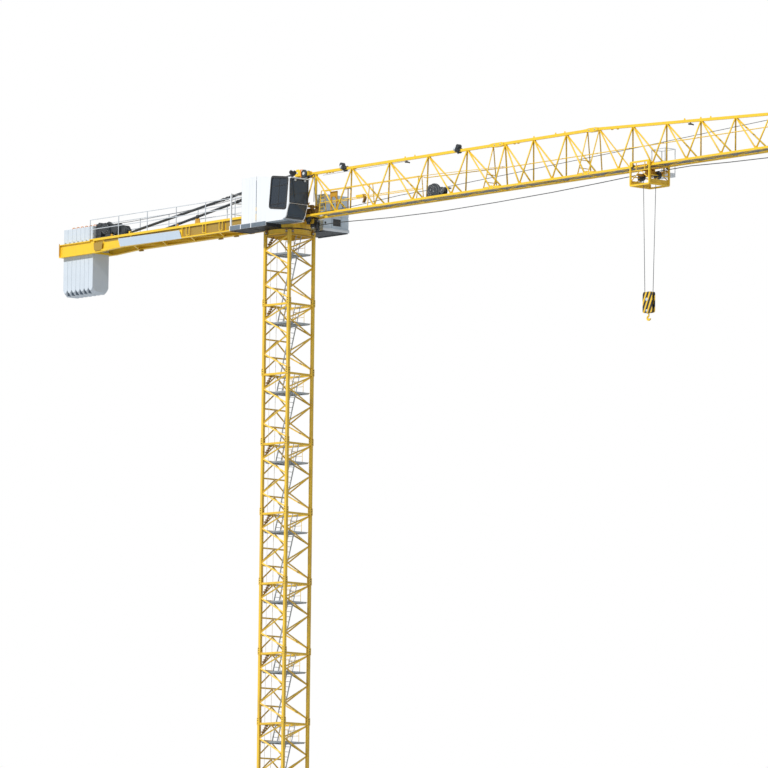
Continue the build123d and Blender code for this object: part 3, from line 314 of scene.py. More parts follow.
class Form:
    """The mesh of one piece, gathered from tubes, blocks and plates in millimetres."""

    def __init__(self, turn=0):
        self.mesh = bmesh.new()
        self.turn = Matrix.Rotation(radians(turn), 4, "Z")

    def loop(self, points):
        return [self.mesh.verts.new(p) for p in points]

    def join(self, low, high):
        for a, b, c, d in zip(low, low[1:] + low[:1], high[1:] + high[:1], high):
            self.mesh.faces.new((a, b, c, d))

    def close(self, rings):
        """The sides and both ends of a solid between two loops."""
        self.join(*rings)
        self.mesh.faces.new(rings[0][::-1])
        self.mesh.faces.new(rings[1])

    def tube(self, points, radius, sides=8, closed=False):
        places = [at(*p) for p in points]
        count = len(places)
        rings = []
        for i, place in enumerate(places):
            back = places[i - 1] if i or closed else place
            ahead = places[(i + 1) % count] if i < count - 1 or closed else place
            along = ((place - back).normalized() + (ahead - place).normalized()).normalized()
            if i == 0:
                side = Vector((0, 0, 1)).cross(along)
                side = side.normalized() if side.length > 0.01 else Vector((0, 1, 0))
            else:
                side = (side - along * side.dot(along)).normalized()
            up = along.cross(side)
            angles = [2 * pi * (k + 0.5) / sides for k in range(sides)]
            reach = radius / 1000
            rings.append(self.loop([place + (side * cos(a) + up * sin(a)) * reach for a in angles]))
        for low, high in zip(rings, rings[1:]):
            self.join(low, high)
        if closed:
            self.join(rings[-1], rings[0])
        else:
            self.mesh.faces.new(rings[0][::-1])
            self.mesh.faces.new(rings[-1])

    def block(self, low, high):
        xs, ys, rises = zip(low, high)
        rings = []
        for rise in rises:
            corners = [(xs[0], ys[0]), (xs[1], ys[0]), (xs[1], ys[1]), (xs[0], ys[1])]
            rings.append(self.loop([at(x, y, rise) for x, y in corners]))
        self.close(rings)

    def plate(self, outline, start_y, end_y):
        """A flat piece from points along and above, between two stations across."""
        self.close([self.loop([at(x, y, rise) for x, rise in outline]) for y in (start_y, end_y)])

    def prism(self, places, shift):
        """A flat piece from a closed run of places, carried along a shift."""
        runs = (places, shifted(places, shift))
        self.close([self.loop([at(*place) for place in run]) for run in runs])

    def frame(self, outer, inner, shift):
        """A flat frame between two closed runs of as many places, carried along a shift."""
        runs = (outer, shifted(outer, shift), shifted(inner, shift), inner)
        rings = [self.loop([at(*place) for place in run]) for run in runs]
        for low, high in zip(rings, rings[1:] + rings[:1]):
            self.join(low, high)

    def across(self, x, near, far, rise, radius, sides=8):
        """A level rod across the crane."""
        self.tube([(x, near, rise), (x, far, rise)], radius, sides)

    def upright(self, x, y, low, high, radius, sides=8):
        self.tube([(x, y, low), (x, y, high)], radius, sides)

    def wheel(self, x, y, rise, radius, width, sides=24):
        self.across(x, y - width / 2, y + width / 2, rise, radius, sides)

    def done(self, name, material, body="upper", smooth=False):
        """The piece as an object. It rides on a body, or on none if it is to blend."""
        bmesh.ops.transform(self.mesh, matrix=self.turn, verts=self.mesh.verts)
        bmesh.ops.recalc_face_normals(self.mesh, faces=self.mesh.faces)
        data = bpy.data.meshes.new(name)
        self.mesh.to_mesh(data)
        self.mesh.free()
        if smooth:
            for face in data.polygons:
                face.use_smooth = len(face.vertices) == 4
        data.materials.append(material)
        piece = bpy.data.objects.new(name, data)
        bpy.context.collection.objects.link(piece)
        if body:
            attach(piece, body)
        return piece


# Mast

mast_turn = 5.05
mast_half = 505.5
section_height = 2070
section_count = 13
platform_drop = 555
brace_levels = 4
hatch_x = 239.2
ladder_lean = 600
platform_half = 440
brace_radius = 24
rungs_per_ladder = 13
cable_places = ((-280, -242, 6), (-330, -440, 5))
race_bolt_count = 40
race_bolt_circle = 610
mast_corners = [(1, -1), (1, 1), (-1, 1), (-1, -1)]


def mast_braces():
    """The K bracing of the rear face: level bars, and legs from their middles to the chords."""
    form = Form(mast_turn)
    step = section_height / brace_levels
    for section in range(section_count):
        for level in range(1, brace_levels + 1):
            rise = level * step - (section + 1) * section_height
            if level < brace_levels:
                ends = [(-mast_half, -mast_half, rise), (-mast_half, mast_half, rise)]
                form.tube(ends, brace_radius, 6)
            for side in (-1, 1):
                foot = (-mast_half, side * (mast_half - 30), rise - step + 110)
                form.tube([(-mast_half, 0, rise - 30), foot], brace_radius, 6)
    form.done("mast_braces", mast_yellow, "tower")


def mast_joints():
    """Splice boxes round the chords where sections meet, their pins, and steps beside one chord."""
    boxes = Form(mast_turn)
    pins = Form(mast_turn)
    steps = Form(mast_turn)
    for joint in range(section_count):
        rise = -joint * section_height
        for x_sign, y_sign in mast_corners:
            x = x_sign * mast_half
            y = y_sign * mast_half
            if joint:
                boxes.block((x - 52, y - 52, rise - 60), (x + 52, y + 52, rise + 150))
                for height in (-25, 50, 115):
                    z = rise + height
                    pins.tube([(x - 64, y, z), (x + 64, y, z)], 13)
                    pins.across(x, y - 64, y + 64, z + 18, 13)
        for number in range(4):
            x = -mast_half + 70 + number * 52
            z = rise - 300 + number * 58
            steps.block((x, -mast_half + 24, z), (x + 66, -mast_half + 84, z + 52))
            steps.across(x + 33, -mast_half + 14, -mast_half + 96, z + 26, 15)
    steps.done("mast_steps", rust, "tower")
    boxes.done("mast_joints", mast_yellow, "tower")
    pins.done("mast_pins", dark, "tower", True)


def mast_ladders():
    """Rungs of the ladders, their ends that stand past each hatch, and the rails round it."""
    rungs = Form(mast_turn)
    for ladder in range(section_count - 1):
        low = -(ladder + 1) * section_height - platform_drop
        for number in range(1, rungs_per_ladder + 1):
            share = number / (rungs_per_ladder + 1)
            x = hatch_x - ladder_lean * (1 - share)
            rise = low + section_height * share
            rungs.across(x, -98, 98, rise, 8, 6)
        top = low + section_height
        for y in (-105, 105):
            rungs.tube([(hatch_x, y, top), (hatch_x + 154, y, top + 530)], 13, 6)
        for share in (0.28, 0.55, 0.82):
            x = hatch_x + 154 * share
            rungs.across(x, -98, 98, top + 530 * share, 8, 6)
    rungs.done("ladder_rungs", zinc, "tower")
    rails = Form(mast_turn)
    for section in range(section_count):
        rise = -section * section_height - platform_drop
        for height in (175, 345):
            z = rise + height
            rails.tube([(420, -230, z), (60, -230, z), (60, 230, z), (420, 230, z)], 7, 6)
        for x, y in ((420, -230), (60, -230), (60, 230), (420, 230)):
            rails.upright(x, y, rise, rise + 345, 8, 6)
    rails.done("hatch_rails", mast_yellow, "tower")


def mast_platform_edges():
    """Folded edges and stiffening ribs under each rest platform."""
    form = Form(mast_turn)
    half = platform_half
    for section in range(section_count):
        rise = -section * section_height - platform_drop
        for y in (-half, -180, 180, half):
            form.block((-half, y - 8, rise - 46), (half, y + 8, rise - 16))
        for x in (-half, half - 8):
            form.block((x, -half, rise - 46), (x + 16, half, rise - 16))
    form.done("platform_ribs", zinc, "tower")


def mast_cables():
    """Two cables that run up inside the mast."""
    form = Form()
    for x, y, radius in cable_places:
        form.upright(x, y, -section_count * section_height + 40, -60, radius, 6)
    form.done("mast_cables", cable_paint, "tower", True)


def ring_points(radius, rise, sides=64):
    angles = [2 * pi * k / sides for k in range(sides)]
    return [(radius * cos(a), radius * sin(a), rise) for a in angles]


def ring_details():
    """The fixed collar with flanges, its corner boxes with pinned pockets, strips of painted shade
    on the ring beam, and the race's bolts.
    """
    collar = Form(mast_turn)
    collar.frame(ring_points(642, 8), ring_points(432, 8), (0, 0, 108))
    for low, high in ((1, 14), (110, 124)):
        collar.frame(ring_points(650, low), ring_points(430, low), (0, 0, high - low))
    for x_sign, y_sign in mast_corners:
        near = [x_sign * 404, x_sign * 546]
        far = [y_sign * 404, y_sign * 546]
        collar.block((min(near), min(far), 1), (max(near), max(far), 96))
    piece = collar.done("ring_collar", mast_yellow, "tower")
    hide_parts("ring_support")
    pockets = Form(mast_turn)
    pins = Form(mast_turn)
    for x_sign, y_sign in mast_corners:
        for shift in (-84, 84):
            x = x_sign * (mast_half - 16) + shift * 0.7 * y_sign
            y = y_sign * (mast_half - 16) - shift * 0.7 * x_sign
            pockets.block((x - 28, y - 28, 4), (x + 28, y + 28, 156))
            pins.tube([(x - 35, y, 52), (x + 35, y, 52)], 20, 12)
            pins.across(x, y - 35, y + 35, 52, 20, 12)
    pockets.done("ring_pockets", rust, "tower")
    pins.done("ring_pins", zinc, "tower", True)
    # Dark strips along the ring beam's faces below the collar: painted shade.
    shades = Form(mast_turn)
    edge = mast_half + 30.5
    for side in (-1, 1):
        shades.block((-440, side * edge - 2, -57), (440, side * edge + 2, -16))
        shades.block((side * edge - 2, -440, -57), (side * edge + 2, 440, -16))
    shades.done("ring_beam_painted_shade", painted_shade_yellow, "tower")
    bolts = Form()
    for number in range(race_bolt_count):
        angle = 2 * pi * (number + 0.5) / race_bolt_count
        x = race_bolt_circle * cos(angle)
        y = race_bolt_circle * sin(angle)
        bolts.upright(x, y, 276, 292, 10, 6)
    bolts.done("race_bolts", dark)


# Jib

jib_low = 462
jib_high = 1754
jib_half_width = 275
taper_start = 13570
taper_share = 0.0476
rear_tops = [1109 + 1710 * bay for bay in range(5)]
rear_lows = [2445 + 1710 * bay for bay in range(5)]
ahead_tops = [10800 + 1385 * bay for bay in range(11)]
ahead_lows = [10510 + 1385 * bay for bay in range(11)]
middle_low = 9400
middle_top = 9590
couplings = ((9340, 455, 234), (13340, 333, 209))
grating_start = 1520
grating_end = 24600
grating_pitch = 345
grating_length = 330
tip_x = 24900
rope_radius = 9
jib_rope_radius = 12


def jib_top(x):
    return jib_high - max(0, x - taper_start) * taper_share


def jib_bars():
    """Level bars across the bottom at each node, and the hand line along the middle."""
    bars = Form()
    for x in rear_lows + [middle_low] + ahead_lows:
        bars.across(x, -jib_half_width, jib_half_width, jib_low, 13, 6)
    bars.done("jib_cross_bars", yellow)
    line = Form()
    line.tube([(5900, 60, 1187), (6144, 0, 1118), (9584, 0, 1060), (24650, 0, 1085)], 14, 6)
    line.tube([(5890, -130, 1172), (7600, -70, 1140), (9584, -20, 1090)], 10, 6)
    line.done("jib_hand_line", yellow, smooth=True)


def jib_skins():
    """Round tubes over the sides' lacing, gussets at its feet, and frames where lengths meet."""
    lengths = [
        [930] + rear_tops + rear_lows,
        [middle_low, middle_top] + ahead_lows[:2] + ahead_tops[:2] + [13280],
        [13340] + ahead_lows[3:] + ahead_tops[3:],
    ]
    tops = {*rear_tops, *ahead_tops, middle_top}
    tubes = Form()
    gussets = Form()
    for xs in lengths:
        xs = sorted(xs)
        for side in (-1, 1):
            points = [(x, 0, jib_top(x)) if x in tops else (x, side * jib_half_width, jib_low)
                      for x in xs]
            for a, b in zip(points, points[1:]):
                if (a[1] == 0) != (b[1] == 0):
                    tubes.tube([a, b], 24, 8)
            for x, y, rise in points:
                if y:
                    outline = [(x - 80, rise + 14), (x + 80, rise + 14),
                               (x + 34, rise + 92), (x - 34, rise + 92)]
                    gussets.plate(outline, y - side * 18 - 4, y - side * 18 + 4)
    for x, _, _ in couplings:
        for side in (-1, 1):
            tubes.tube([(x - 260, 0, jib_top(x) - 20), (x - 390, side * 262, jib_low + 20)], 17, 6)
        for share in (0.66, 0.84):
            back = x - 260 - 130 * share
            z = jib_top(x) - 20 + (jib_low + 40 - jib_top(x)) * share
            tubes.across(back, -262 * share, 262 * share, z, 12, 6)
    tubes.done("jib_lacing_tubes", yellow, smooth=True)
    gussets.done("jib_gussets", yellow)


def jib_fittings():
    """Lugs and eyes along the top chord, and the boxes and pins of the couplings."""
    lugs = Form()
    for x in (5210, 5640, 10810, 11730, 12120, 17060, 17710, 18110):
        z = jib_top(x) + 36
        lugs.plate([(x - 34, z), (x + 34, z), (x + 18, z + 52), (x - 18, z + 52)], -7, 7)
    for x in (1700, 1830, 1960, 2980, 9990, 10150, 14100, 14330):
        z = jib_top(x) - 38
        lugs.plate([(x - 38, z), (x + 38, z), (x + 30, z - 26), (x - 30, z - 26)], -14, 14)
    lugs.done("jib_lugs", yellow)
    eyes = Form()
    for x in (5290, 17300):
        z = jib_top(x) - 38
        eyes.upright(x, 0, z, z - 50, 14)
        eyes.tube([(x - 70, 0, z - 40), (x + 40, 0, z - 56)], 26)
        eyes.tube([(x + 30, 0, z - 50), (x + 120, 0, z - 84)], 20)
    eyes.done("jib_eyes", black)
    boxes = Form()
    pins = Form()
    for x, back, ahead in couplings:
        z = jib_top(x)
        top = z + 39
        outline = [
            (x - back, z + 28), (x - back * 0.55, top + 14), (x + ahead * 0.7, top + 14),
            (x + ahead, z + 28), (x + ahead, z - 34), (x + ahead * 0.4, z - 62),
            (x - back * 0.4, z - 62), (x - back, z - 34)]
        boxes.plate(outline, -62, 62)
        for shift in (-150, 90):
            pins.wheel(x + shift, 0, z - 2, 20, 150, 12)
        for side in (-1, 1):
            for shift in (-110, 110):
                pins.wheel(x + shift, side * jib_half_width, jib_low + 18, 14, 96, 10)
    boxes.done("coupling_boxes", yellow)
    pins.done("coupling_pins", zinc, smooth=True)


def lamp_bodies():
    """The dark bodies that wrap the top chord by each lamp, and the pale discs that face back."""
    bodies = Form()
    discs = Form()
    for x in (2490, 7550):
        z = jib_top(x)
        for shift, radius, low in ((-60, 70, -4), (0, 84, -26), (58, 76, -44), (116, 62, -28)):
            height = z + low + 40
            bodies.tube([(x + shift - 20, 0, height), (x + shift + 24, 0, height)], radius, 14)
        bodies.tube([(x - 10, -40, z - 30), (x + 60, -52, z - 84)], 22, 8)
        discs.tube([(x - 112, -34, z + 58), (x - 60, -30, z + 50)], 70, 20)
    bodies.done("lamp_bodies", dark)
    discs.done("lamp_discs", light_metal, smooth=True)


def walkway_fittings():
    """The rounded rail ends, the guard, the posts and the small box at the jib's root."""
    form = Form()
    for rise, near_y in ((960, -100), (640, -130)):
        flat = ((1720, 60), (1560, 46), (1500, 0), (1560, -46), (1720, -60))
        form.tube([(x, near_y, rise + height) for x, height in flat], 9, 6)
    form.block((3160, -130, 812), (3540, -60, 892))
    form.done("walkway_guards", yellow)
    # The guard takes the darker orange: painted shade.
    guard = Form()
    flat = ((1850, 1140), (1850, 630), (1910, 560), (2040, 560), (2100, 630), (2100, 1140))
    guard.tube([(x, 40, z) for x, z in flat], 28, 6)
    guard.block((1820, 18, 980), (2110, 62, 1140))
    guard.done("walkway_guard", orange_in_painted_shade)
    posts = Form()
    posts.upright(2770, -95, 480, 1130, 16, 6)
    posts.tube([(2650, -95, 1125), (2890, -95, 1125)], 14, 6)
    outline = [(3470, 895), (3510, 895), (3570, 760), (3500, 640), (3460, 640), (3520, 760)]
    posts.plate(outline, -140, -50)
    posts.done("walkway_posts", rust)


# Cab and its platform

cab_near = -1150
pane_near = -1139
chin_x = 1080.4
chin_rise = 446.3


def rounded(corners, reach, steps=5):
    """A closed run of flat points with its corners rounded."""
    points = []
    for back, corner, ahead in zip(corners[-1:] + corners[:-1], corners, corners[1:] + corners[:1]):
        corner = Vector(corner)
        start = corner + (Vector(back) - corner).normalized() * reach
        end = corner + (Vector(ahead) - corner).normalized() * reach
        for step in range(steps):
            share = step / (steps - 1)
            point = start * (1 - share) ** 2 + corner * 2 * share * (1 - share) + end * share ** 2
            points.append((point.x, point.y))
    return points


def front_x(rise):
    """How far along the cab's front face is at a rise."""
    if rise < 746.3:
        return 1173 + (rise - 316.3) * 0.3465
    return 1322 + (rise - 746.3) * 0.0207


def front_run(flat, reach):
    """Places on the cab's front face, from stations across and above, moved along by a reach."""
    return [(front_x(z) + reach, y, z) for y, z in flat]


def cab_frames():
    """Dark frames of the side window and the two front panes, with the bars behind the glass."""
    form = Form()
    outer = rounded([(398, 660), (1207, 556), (1307, 1534), (498, 1638)], 110)
    inner = rounded([(448, 712), (1162, 616), (1255, 1477), (541, 1572)], 75)
    runs = [[(x, cab_near - 9, z) for x, z in flat] for flat in (outer, inner)]
    form.frame(*runs, (0, 20, 0))
    bars = ([(492, 1296), (1250, 1296), (1252, 1312), (494, 1312)],
            [(455, 760), (1180, 760), (1182, 778), (457, 778)],
            [(795, 690), (812, 688), (905, 1548), (888, 1550)])
    for bar in bars:
        form.prism([(x, pane_near, z) for x, z in bar], (0, -7, 0))
    for low, high, near, far, border in ((752, 1500, -1128, -408, 20), (404, 738, -1118, -440, 12)):
        runs = []
        for inset in (0, border):
            left, right, foot, top = near + inset, far - inset, low + inset, high - inset
            flat = rounded([(left, foot), (right, foot), (right, top), (left, top)], 50)
            runs.append(front_run(flat, -8))
        form.frame(*runs, (13, 0, 0))
    post = ((-480, 760), (-410, 760), (-410, 1490), (-455, 1490))
    form.prism(front_run(post, 1), (5, 0, 0))
    visor = ((-1120, 1445), (-412, 1445), (-412, 1484), (-1120, 1484))
    form.prism(front_run(visor, 2), (5, 0, 0))
    form.done("cab_frames", black)


def chin_run(radius, near, degrees):
    """Places round the chin's centre, one at each angle."""
    angles = [radians(a) for a in degrees]
    return [(chin_x + radius * cos(a), near, chin_rise + radius * sin(a)) for a in angles]


def cab_chin():
    """The two front panes, the curved pane between them and the floor, and the strip under it."""
    form = Form()
    turn = [-17 - 7 * step for step in range(8)]
    form.prism(chin_run(135, -1112, turn) + chin_run(128, -1112, turn)[::-1], (0, 668, 0))
    for low, high, near, far in ((768, 1476, -1108, -454), (410, 732, -1106, -452)):
        corners = ((near, low), (far, low), (far, high), (near, high))
        form.prism(front_run(corners, 1), (1.5, 0, 0))
    form.done("cab_front_panes", front_glass)
    lower = Form()
    turn = [-34 - 40 * step / 6 for step in range(7)]
    back = [-74 + 40 * step / 6 for step in range(7)]
    lower.prism(chin_run(137, -1110, turn) + chin_run(129, -1110, back), (0, 664, 0))
    lower.done("cab_chin_strip", dark)


def cab_fittings():
    """Lamps above the cab and under its visor, the wiper, and the seam and hinges of its side."""
    form = Form()
    form.block((1300, -1030, 1515), (1330, -995, 1600))
    form.across(1315, -1110, -915, 1600, 10)
    for y in (-1078, -950):
        form.tube([(1275, y, 1660), (1300, y, 1664)], 40, 14)
        form.tube([(1300, y, 1664), (1352, y, 1652)], 58, 14)
        form.upright(1315, y, 1600, 1730, 14)
    form.tube([(1347, -1040, 1395), (1352, -1000, 1250), (1350, -945, 960)], 8, 6)
    form.tube([(1346, -1040, 1395), (1340, -1040, 1470)], 10, 6)
    for y in (-1090, -470):
        form.upright(1352, y, 1476, 1500, 20, 10)
    form.done("cab_lamps", black)
    lenses = Form()
    for y in (-952, -578):
        lenses.tube([(1345, y, 1452), (1382, y, 1440)], 34, 16)
        lenses.upright(1360, y, 1445, 1486, 10)
    lenses.done("cab_visor_lamps", light_metal, smooth=True)
    seams = Form()
    seams.block((-195, cab_near - 3, 330), (-171, cab_near + 3, 1560))
    seams.done("cab_seam", slate)
    marks = Form()
    for low, high in ((370, 560), (650, 760)):
        marks.block((-194, cab_near - 9, low), (-172, cab_near - 2, high))
    marks.done("cab_hinges", mast_yellow)


def cab_undersides():
    """Slats under the cab and its platform, and the panels and posts of the platform's edge."""
    slats = Form()
    slats.block((-1396, cab_near + 6, 167), (276, -334, 171.5))
    for number in range(5):
        y = cab_near + 40 + number * 165
        slats.block((-1390, y, 158), (270, y + 56, 168))
    slats.block((-1392, -346, 173), (272, -326, 275))
    for x in (-1398, -560, 270):
        slats.block((x, cab_near + 10, 152), (x + 26, -336, 166))
    slats.block((277, cab_near + 4, 168), (285, -334, 262))
    slats.done("cab_platform_slats", black)
    under = Form()
    under.block((287, cab_near + 14, 268), (1060, -424, 276))
    under.done("cab_floor_under", dark)
    floor = Form()
    ribs = Form()
    for near, far in ((-1136, -960), (-706, -676)):
        floor.block((290, near, 260), (1056, far, 269))
    for near, far in ((-940, -800), (-620, -520)):
        ribs.block((290, near, 258), (1056, far, 269))
    ribs.done("cab_floor_ribs", slate)
    floor.block((1064, cab_near + 14, 268), (1090, -424, 290))
    floor.done("cab_floor_slats", floor_paint)
    panels = Form()
    for start, end in ((-1368, -892), (-860, -412), (-380, 276)):
        panels.block((start, -1170, 178), (end, -1163, 304))
    panels.done("cab_platform_panels", slate)
    posts = Form()
    for x in (-1400, -892, -412):
        posts.block((x, -1178, 172), (x + 32, -1163, 308))
    posts.done("cab_platform_posts", white)
    folds = Form()
    for x in (-860, -530, -360):
        folds.block((x, cab_near - 1.5, 330), (x + 3, cab_near + 1, 1660))
    folds.done("board_folds", light_metal)


# Tower head

tie_pin_y = 243


def head_details():
    """Cheeks of the tie pins, the rope wheel and its guard, and the beams of the jib's root."""
    cheeks = Form()
    outline = [(500, 1690), (516, 1850), (580, 1896), (680, 1896), (740, 1850), (752, 1690)]
    for side in (-1, 1):
        cheeks.plate(outline, side * tie_pin_y - 8, side * tie_pin_y + 8)
    cheeks.done("head_cheeks", yellow)
    guard = Form()
    outline = [(758, 1660), (758, 1868), (790, 1888), (806, 1888), (806, 1660)]
    for y in (-262, -196):
        guard.plate(outline, y, y + 12)
    guard.done("head_guard", orange)
    wheels = Form()
    wheels.wheel(900, -222, 1752, 118, 44)
    wheels.wheel(830, 0, 1754, 118, 10)
    wheels.block((860, -244, 1560), (1060, -200, 1640))
    wheels.across(900, -222, -120, 1752, 24)
    wheels.tube([(980, -210, 1600), (1180, -60, 1720)], 16)
    wheels.done("head_wheel", dark, smooth=True)
    hubs = Form()
    hubs.wheel(900, -222, 1752, 46, 60, 16)
    for side in (-1, 1):
        hubs.wheel(620, side * tie_pin_y, 1789, 26, 50, 12)
    hubs.upright(1140, -30, 900, 1640, 13)
    hubs.upright(1190, 40, 900, 1560, 9)
    hubs.done("head_hubs", light_metal, smooth=True)
    beams = Form()
    for x, z in ((720, 470), (860, 600), (1010, 735)):
        beams.block((x, -205, z), (x + 60, 205, z + 70))
    for side in (-1, 1):
        beams.tube([(560, side * 190, 350), (1120, side * 190, 860)], 22)
    beams.done("root_beams", mast_yellow)
    # Dark brown boxes for the clutter behind the jib's root; their darkness is partly the clutter's
    # own and partly painted shade.
    housing = Form()
    housing.block((700, -120, 380), (1010, 170, 560))
    housing.block((800, -150, 560), (1090, 190, 700))
    housing.block((1090, -110, 560), (1320, 60, 668))
    housing.upright(1130, -90, 668, 800, 60, 14)
    housing.upright(1240, 20, 668, 760, 48, 14)
    housing.done("root_housing", rust)


def rope_guide_details():
    """The small wheel and the drives' dark housings under the jib's root."""
    form = Form()
    form.wheel(1283, 0, 88, 86, 36)
    for side in (-1, 1):
        form.plate([(1170, 330), (1350, 330), (1330, 60), (1236, 60)], side * 30 - 5, side * 30 + 5)
    for y in (-150, 140):
        form.upright(1040, y, 300, 470, 74, 16)
        form.upright(1040, y, 230, 300, 52, 16)
    form.tube([(940, -190, 430), (1180, -190, 430)], 34, 10)
    form.block((890, 50, 172), (1010, 250, 322))
    form.done("rope_guide_wheel", dark, smooth=True)


# Counter-jib

girder_side = 439
girder_rear = -8880
girder_front = -1406
tie_foot = (-7100, 382, 742)
tie_run = (7700, 177, 1047)
plate_count = 7
first_plate_x = -9142
plate_pitch = 209
hoist_drum_x = -8400
hoist_drum_rise = 995
cover_bolt_count = 12


def tie_place(side, share):
    """A place on a tie, by its share of the way from the counter-jib up to the head."""
    return (tie_foot[0] + tie_run[0] * share, side * (tie_foot[1] - tie_run[1] * share),
            tie_foot[2] + tie_run[2] * share)


def counter_details():
    """Loops and flanges of the girders; webs, feet, joists and lugs in darker paint as painted
    shade; and the ties' sleeves.
    """
    loops = Form()
    for x in (-4260, -3475, -2690):
        run = [(x - 75, -447, 640), (x - 75, -452, 400), (x - 45, -452, 378), (x + 45, -452, 378),
               (x + 75, -452, 400), (x + 75, -447, 640)]
        loops.tube(run, 14, 6)
    for x in (-8846, -7040, -4560, -1640):
        loops.block((x, -437, 352), (x + 18, -394, 680))
    for side in (-1, 1):
        y = side * girder_side
        loops.block((girder_rear, y - 4, 636), (girder_front, y + 4, 707))
        loops.block((-8740, y - 3, 318), (girder_front, y + 3, 352))
    loops.done("counter_loops", yellow)
    # The feet under the far girder take the darker yellow: painted shade, as they sit in the
    # girder's shadow.
    feet = Form()
    for x, rise in ((-3684, 232), (-2950, 240), (-2219, 262), (-7524, 232)):
        feet.block((x - 90, 352, rise + 40), (x + 90, 412, rise + 66))
        outline = [(x - 82, rise + 64), (x + 82, rise + 64), (x + 66, 352), (x - 66, 352)]
        feet.plate(outline, 366, 398)
    feet.done("counter_feet", painted_shade_yellow)
    # Bracket plate, a plate under the deck and web panels between the flanges, all in the darker
    # yellow: painted shade where the top flange and the deck shadow the recessed web.
    webs = Form()
    outline = [(-8846, 571), (-8400, 571), (-8440, 360), (-8500, 322), (-8760, 322), (-8820, 360)]
    webs.plate(outline, -452, -441)
    webs.block((-8230, -322, 699), (-1410, 322, 703.5))
    for start, end in ((-4534, -3500), (-3440, -2560), (-2500, -1660)):
        webs.block((start, -397, 364), (end, -393, 672))
    webs.block((-7640, -397, 610), (-4680, -393, 672))
    webs.block((-8380, -397, 560), (-7700, -393, 672))
    for x in (-3490, -2550):
        webs.block((x - 4, -437, 352), (x + 12, -394, 680))
    webs.done("counter_webs", painted_shade_yellow)
    # Lugs in the darker orange: painted shade.
    lugs = Form()
    lugs.block((-10576, -446, 318), (-10548, -436, 700))
    outline = [(-3990, 716), (-3760, 716), (-3790, 830), (-3850, 880), (-3930, 880), (-3970, 830)]
    lugs.plate(outline, -398, -366)
    lugs.plate([(-4870, 716), (-4790, 716), (-4810, 775), (-4850, 775)], -396, -370)
    lugs.plate([(-8030, 716), (-7940, 716), (-7960, 770), (-8010, 770)], -436, -400)
    lugs.done("counter_lugs", orange_in_painted_shade)
    blocks = Form()
    blocks.block((-3915, -410, 850), (-3830, -356, 960))
    for side in (-1, 1):
        for share in (0.56, 0.583, 0.606):
            ends = [tie_place(side, share - 0.0045), tie_place(side, share + 0.0045)]
            blocks.tube(ends, 52, 12)
        blocks.tube([tie_place(side, 0.30), tie_place(side, 0.31)], 48, 12)
    blocks.done("tie_sleeves", black, smooth=True)
    skins = Form()
    for side in (-1, 1):
        skins.tube([tie_place(side, 0.03), tie_place(side, 0.97)], 41, 16)
    skins.done("tie_sheaths", dark, smooth=True)
    # Joists and rails under the deck in the darker yellow: painted shade on the underside.
    under = Form()
    for number in range(14):
        x = -8200 + number * 520
        under.block((x, -320, 655), (x + 44, 320, 702))
    for y in (-120, 110):
        under.tube([(-8300, y, 678), (-1400, y, 678)], 16, 6)
    under.done("deck_joists", painted_shade_yellow)
    rope = Form()
    run = [(-8400, 20, 1162), (-7500, 10, 1160), (-6606, 0, 1176), (-5200, 0, 1212),
           (-3717, 0, 1275), (-1800, 0, 1400), (-300, 0, 1530), (650, 0, 1652)]
    rope.tube(run, rope_radius, 6)
    rope.done("hoist_rope_rear", rope_steel, smooth=True)


def plate_details():
    """Lifting lugs on the counterweight plates, and the dark joints between them."""
    lugs = Form()
    joints = Form()
    flat = ((-60, 1126), (-60, 1190), (-30, 1222), (30, 1222), (60, 1190), (60, 1126))
    for number in range(plate_count):
        x = first_plate_x - plate_pitch * number
        lugs.tube([(x, y, z) for y, z in flat], 13, 6)
        lugs.block((x - 30, -90, 1128), (x + 30, 90, 1138))
        if number:
            joints.block((x + 101, -300, -930), (x + 108, 300, 1105))
    lugs.done("plate_lugs", orange)
    joints.done("plate_joints", slate)


def hoist_details():
    """Round covers, bolts and fins of the hoist winch, and the rope's turns on its drum."""
    form = Form()
    covers = ((-8532, 1007, 178, -262), (-8038, 945, 150, -236), (-7640, 880, 112, -214))
    for x, z, radius, near in covers:
        form.across(x, near, near + 44, z, radius, 28)
        form.across(x, near - 14, near, z, radius * 0.7, 28)
    form.across(-8960, -150, 150, 1180, 62, 16)
    form.across(-8860, -190, 190, 1060, 96, 20)
    for number in range(9):
        y = -150 + number * 34
        form.across(-7905, y, y + 12, 914, 158, 24)
    form.block((-8180, -180, 720), (-7700, 180, 770))
    form.block((-8240, -60, 1000), (-8090, 60, 1120))
    form.tube([(-7760, -60, 900), (-7560, -40, 860)], 64, 14)
    form.done("hoist_covers", dark, smooth=True)
    bolts = Form()
    for number in range(cover_bolt_count):
        angle = 2 * pi * number / cover_bolt_count
        bolts.wheel(-8532 + 152 * cos(angle), -266, 1007 + 152 * sin(angle), 9, 12, 6)
    bolts.done("hoist_bolts", zinc)
    turns = Form()
    for number in range(19):
        y = -186 + number * 20
        turns.across(hoist_drum_x, y, y + 18, hoist_drum_rise, 172, 32)
    turns.done("hoist_rope_turns", rope_steel, "hoist_rope_drum", True)


# Service platform

